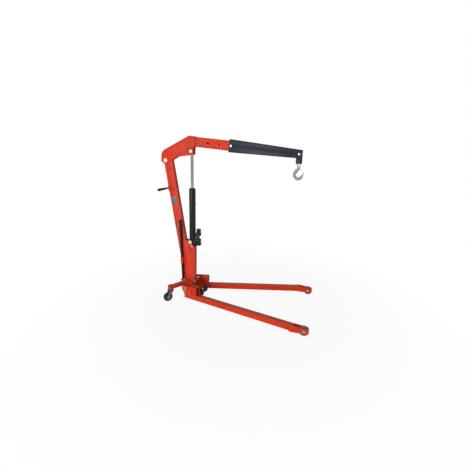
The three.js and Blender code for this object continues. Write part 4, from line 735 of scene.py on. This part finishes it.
deselect()
bpy.ops.mesh.primitive_plane_add(size=FLOOR_SIZE)
floor = bpy.context.object
floor.name = "studio_floor"
paper = bpy.data.materials.new("studio_paper")
paper.use_nodes = True
paper_nodes, paper_links = paper.node_tree.nodes, paper.node_tree.links
paper_shader = paper_nodes["Principled BSDF"]
paper_shader.inputs["Base Color"].default_value = PAPER_WHITE
paper_shader.inputs["Roughness"].default_value = PAPER_ROUGHNESS
paper_shader.inputs["Specular IOR Level"].default_value = 0.0
glow = paper_nodes.new("ShaderNodeEmission")
glow.inputs["Strength"].default_value = 1.0
share = paper_nodes.new("ShaderNodeMath")
share.operation = "MULTIPLY"
paper_links.new(background_rays(paper_nodes, paper_links), share.inputs[0])
paper_place = paper_nodes.new("ShaderNodeTexCoord")
paper_reach = paper_nodes.new("ShaderNodeVectorMath")
paper_reach.operation = "LENGTH"
paper_fade = map_range(paper_nodes, (FADE_START, FADE_END), NEAR_SHARE, FAR_SHARE)
paper_links.new(paper_place.outputs["Object"], paper_reach.inputs[0])
paper_links.new(paper_reach.outputs["Value"], paper_fade.inputs["Value"])
paper_links.new(paper_fade.outputs["Result"], share.inputs[1])
mixed = paper_nodes.new("ShaderNodeMixShader")
paper_links.new(share.outputs[0], mixed.inputs[0])
paper_links.new(paper_shader.outputs[0], mixed.inputs[1])
paper_links.new(glow.outputs[0], mixed.inputs[2])
paper_links.new(mixed.outputs[0], paper_nodes["Material Output"].inputs["Surface"])
floor.data.materials.append(paper)

world = bpy.data.worlds.new("studio_air")
bpy.context.scene.world = world
world.use_nodes = True
air_nodes, air_links = world.node_tree.nodes, world.node_tree.links
air = air_nodes["Background"]
air.inputs["Color"].default_value = (1, 1, 1, 1)
air_way = air_nodes.new("ShaderNodeTexCoord")
air_lean = air_nodes.new("ShaderNodeVectorMath")
air_lean.operation = "DOT_PRODUCT"
air_lean.inputs[1].default_value = AIR_WAY
air_links.new(air_way.outputs["Generated"], air_lean.inputs[0])
dim = map_range(air_nodes, AIR_CUT, AIR_DIM, AIR_BRIGHT)
air_links.new(air_lean.outputs["Value"], dim.inputs["Value"])
level = air_nodes.new("ShaderNodeMix")
air_links.new(background_rays(air_nodes, air_links), level.inputs[0])
air_links.new(dim.outputs["Result"], level.inputs[2])
level.inputs[3].default_value = 1.0
air_links.new(level.outputs[0], air.inputs["Strength"])


def soft_lamp(name, place, target, size, power):
    """A round lamp that faces a point; metres and watts."""
    data = bpy.data.lights.new(name, "AREA")
    data.shape = "DISK"
    data.size = size
    data.energy = power
    lamp = bpy.data.objects.new(name, data)
    bpy.context.scene.collection.objects.link(lamp)
    lamp.location = place
    lamp.rotation_euler = (Vector(target) - Vector(place)).to_track_quat("-Z", "Y").to_euler()


soft_lamp("key_lamp", place=(-1.8, -5.6, 1.9), target=(0, 0, 0.7), size=3.4, power=150)
soft_lamp("top_lamp", place=(-1.8, 0.6, 4.6), target=(0, 0, 0.6), size=3.2, power=24)

# Camera, as it was fitted to the photograph
CAMERA_PLACE, CAMERA_TARGET = (1514.8, -2557.8, 1526.8), (733.6, 0, 754.7)
SENSOR_WIDTH, LENS, CLIP_NEAR, CLIP_FAR = 36, 20.77, 0.05, 100
bpy.context.scene.view_settings.view_transform = "Standard"
camera = bpy.data.objects.new("camera", bpy.data.cameras.new("camera"))
bpy.context.scene.collection.objects.link(camera)
camera.data.sensor_width = SENSOR_WIDTH
camera.data.lens = LENS
camera.data.clip_start, camera.data.clip_end = CLIP_NEAR, CLIP_FAR
camera.location = at(*CAMERA_PLACE)
camera.rotation_euler = (at(*CAMERA_TARGET) - camera.location).to_track_quat("-Z", "Y").to_euler()
bpy.context.scene.camera = camera
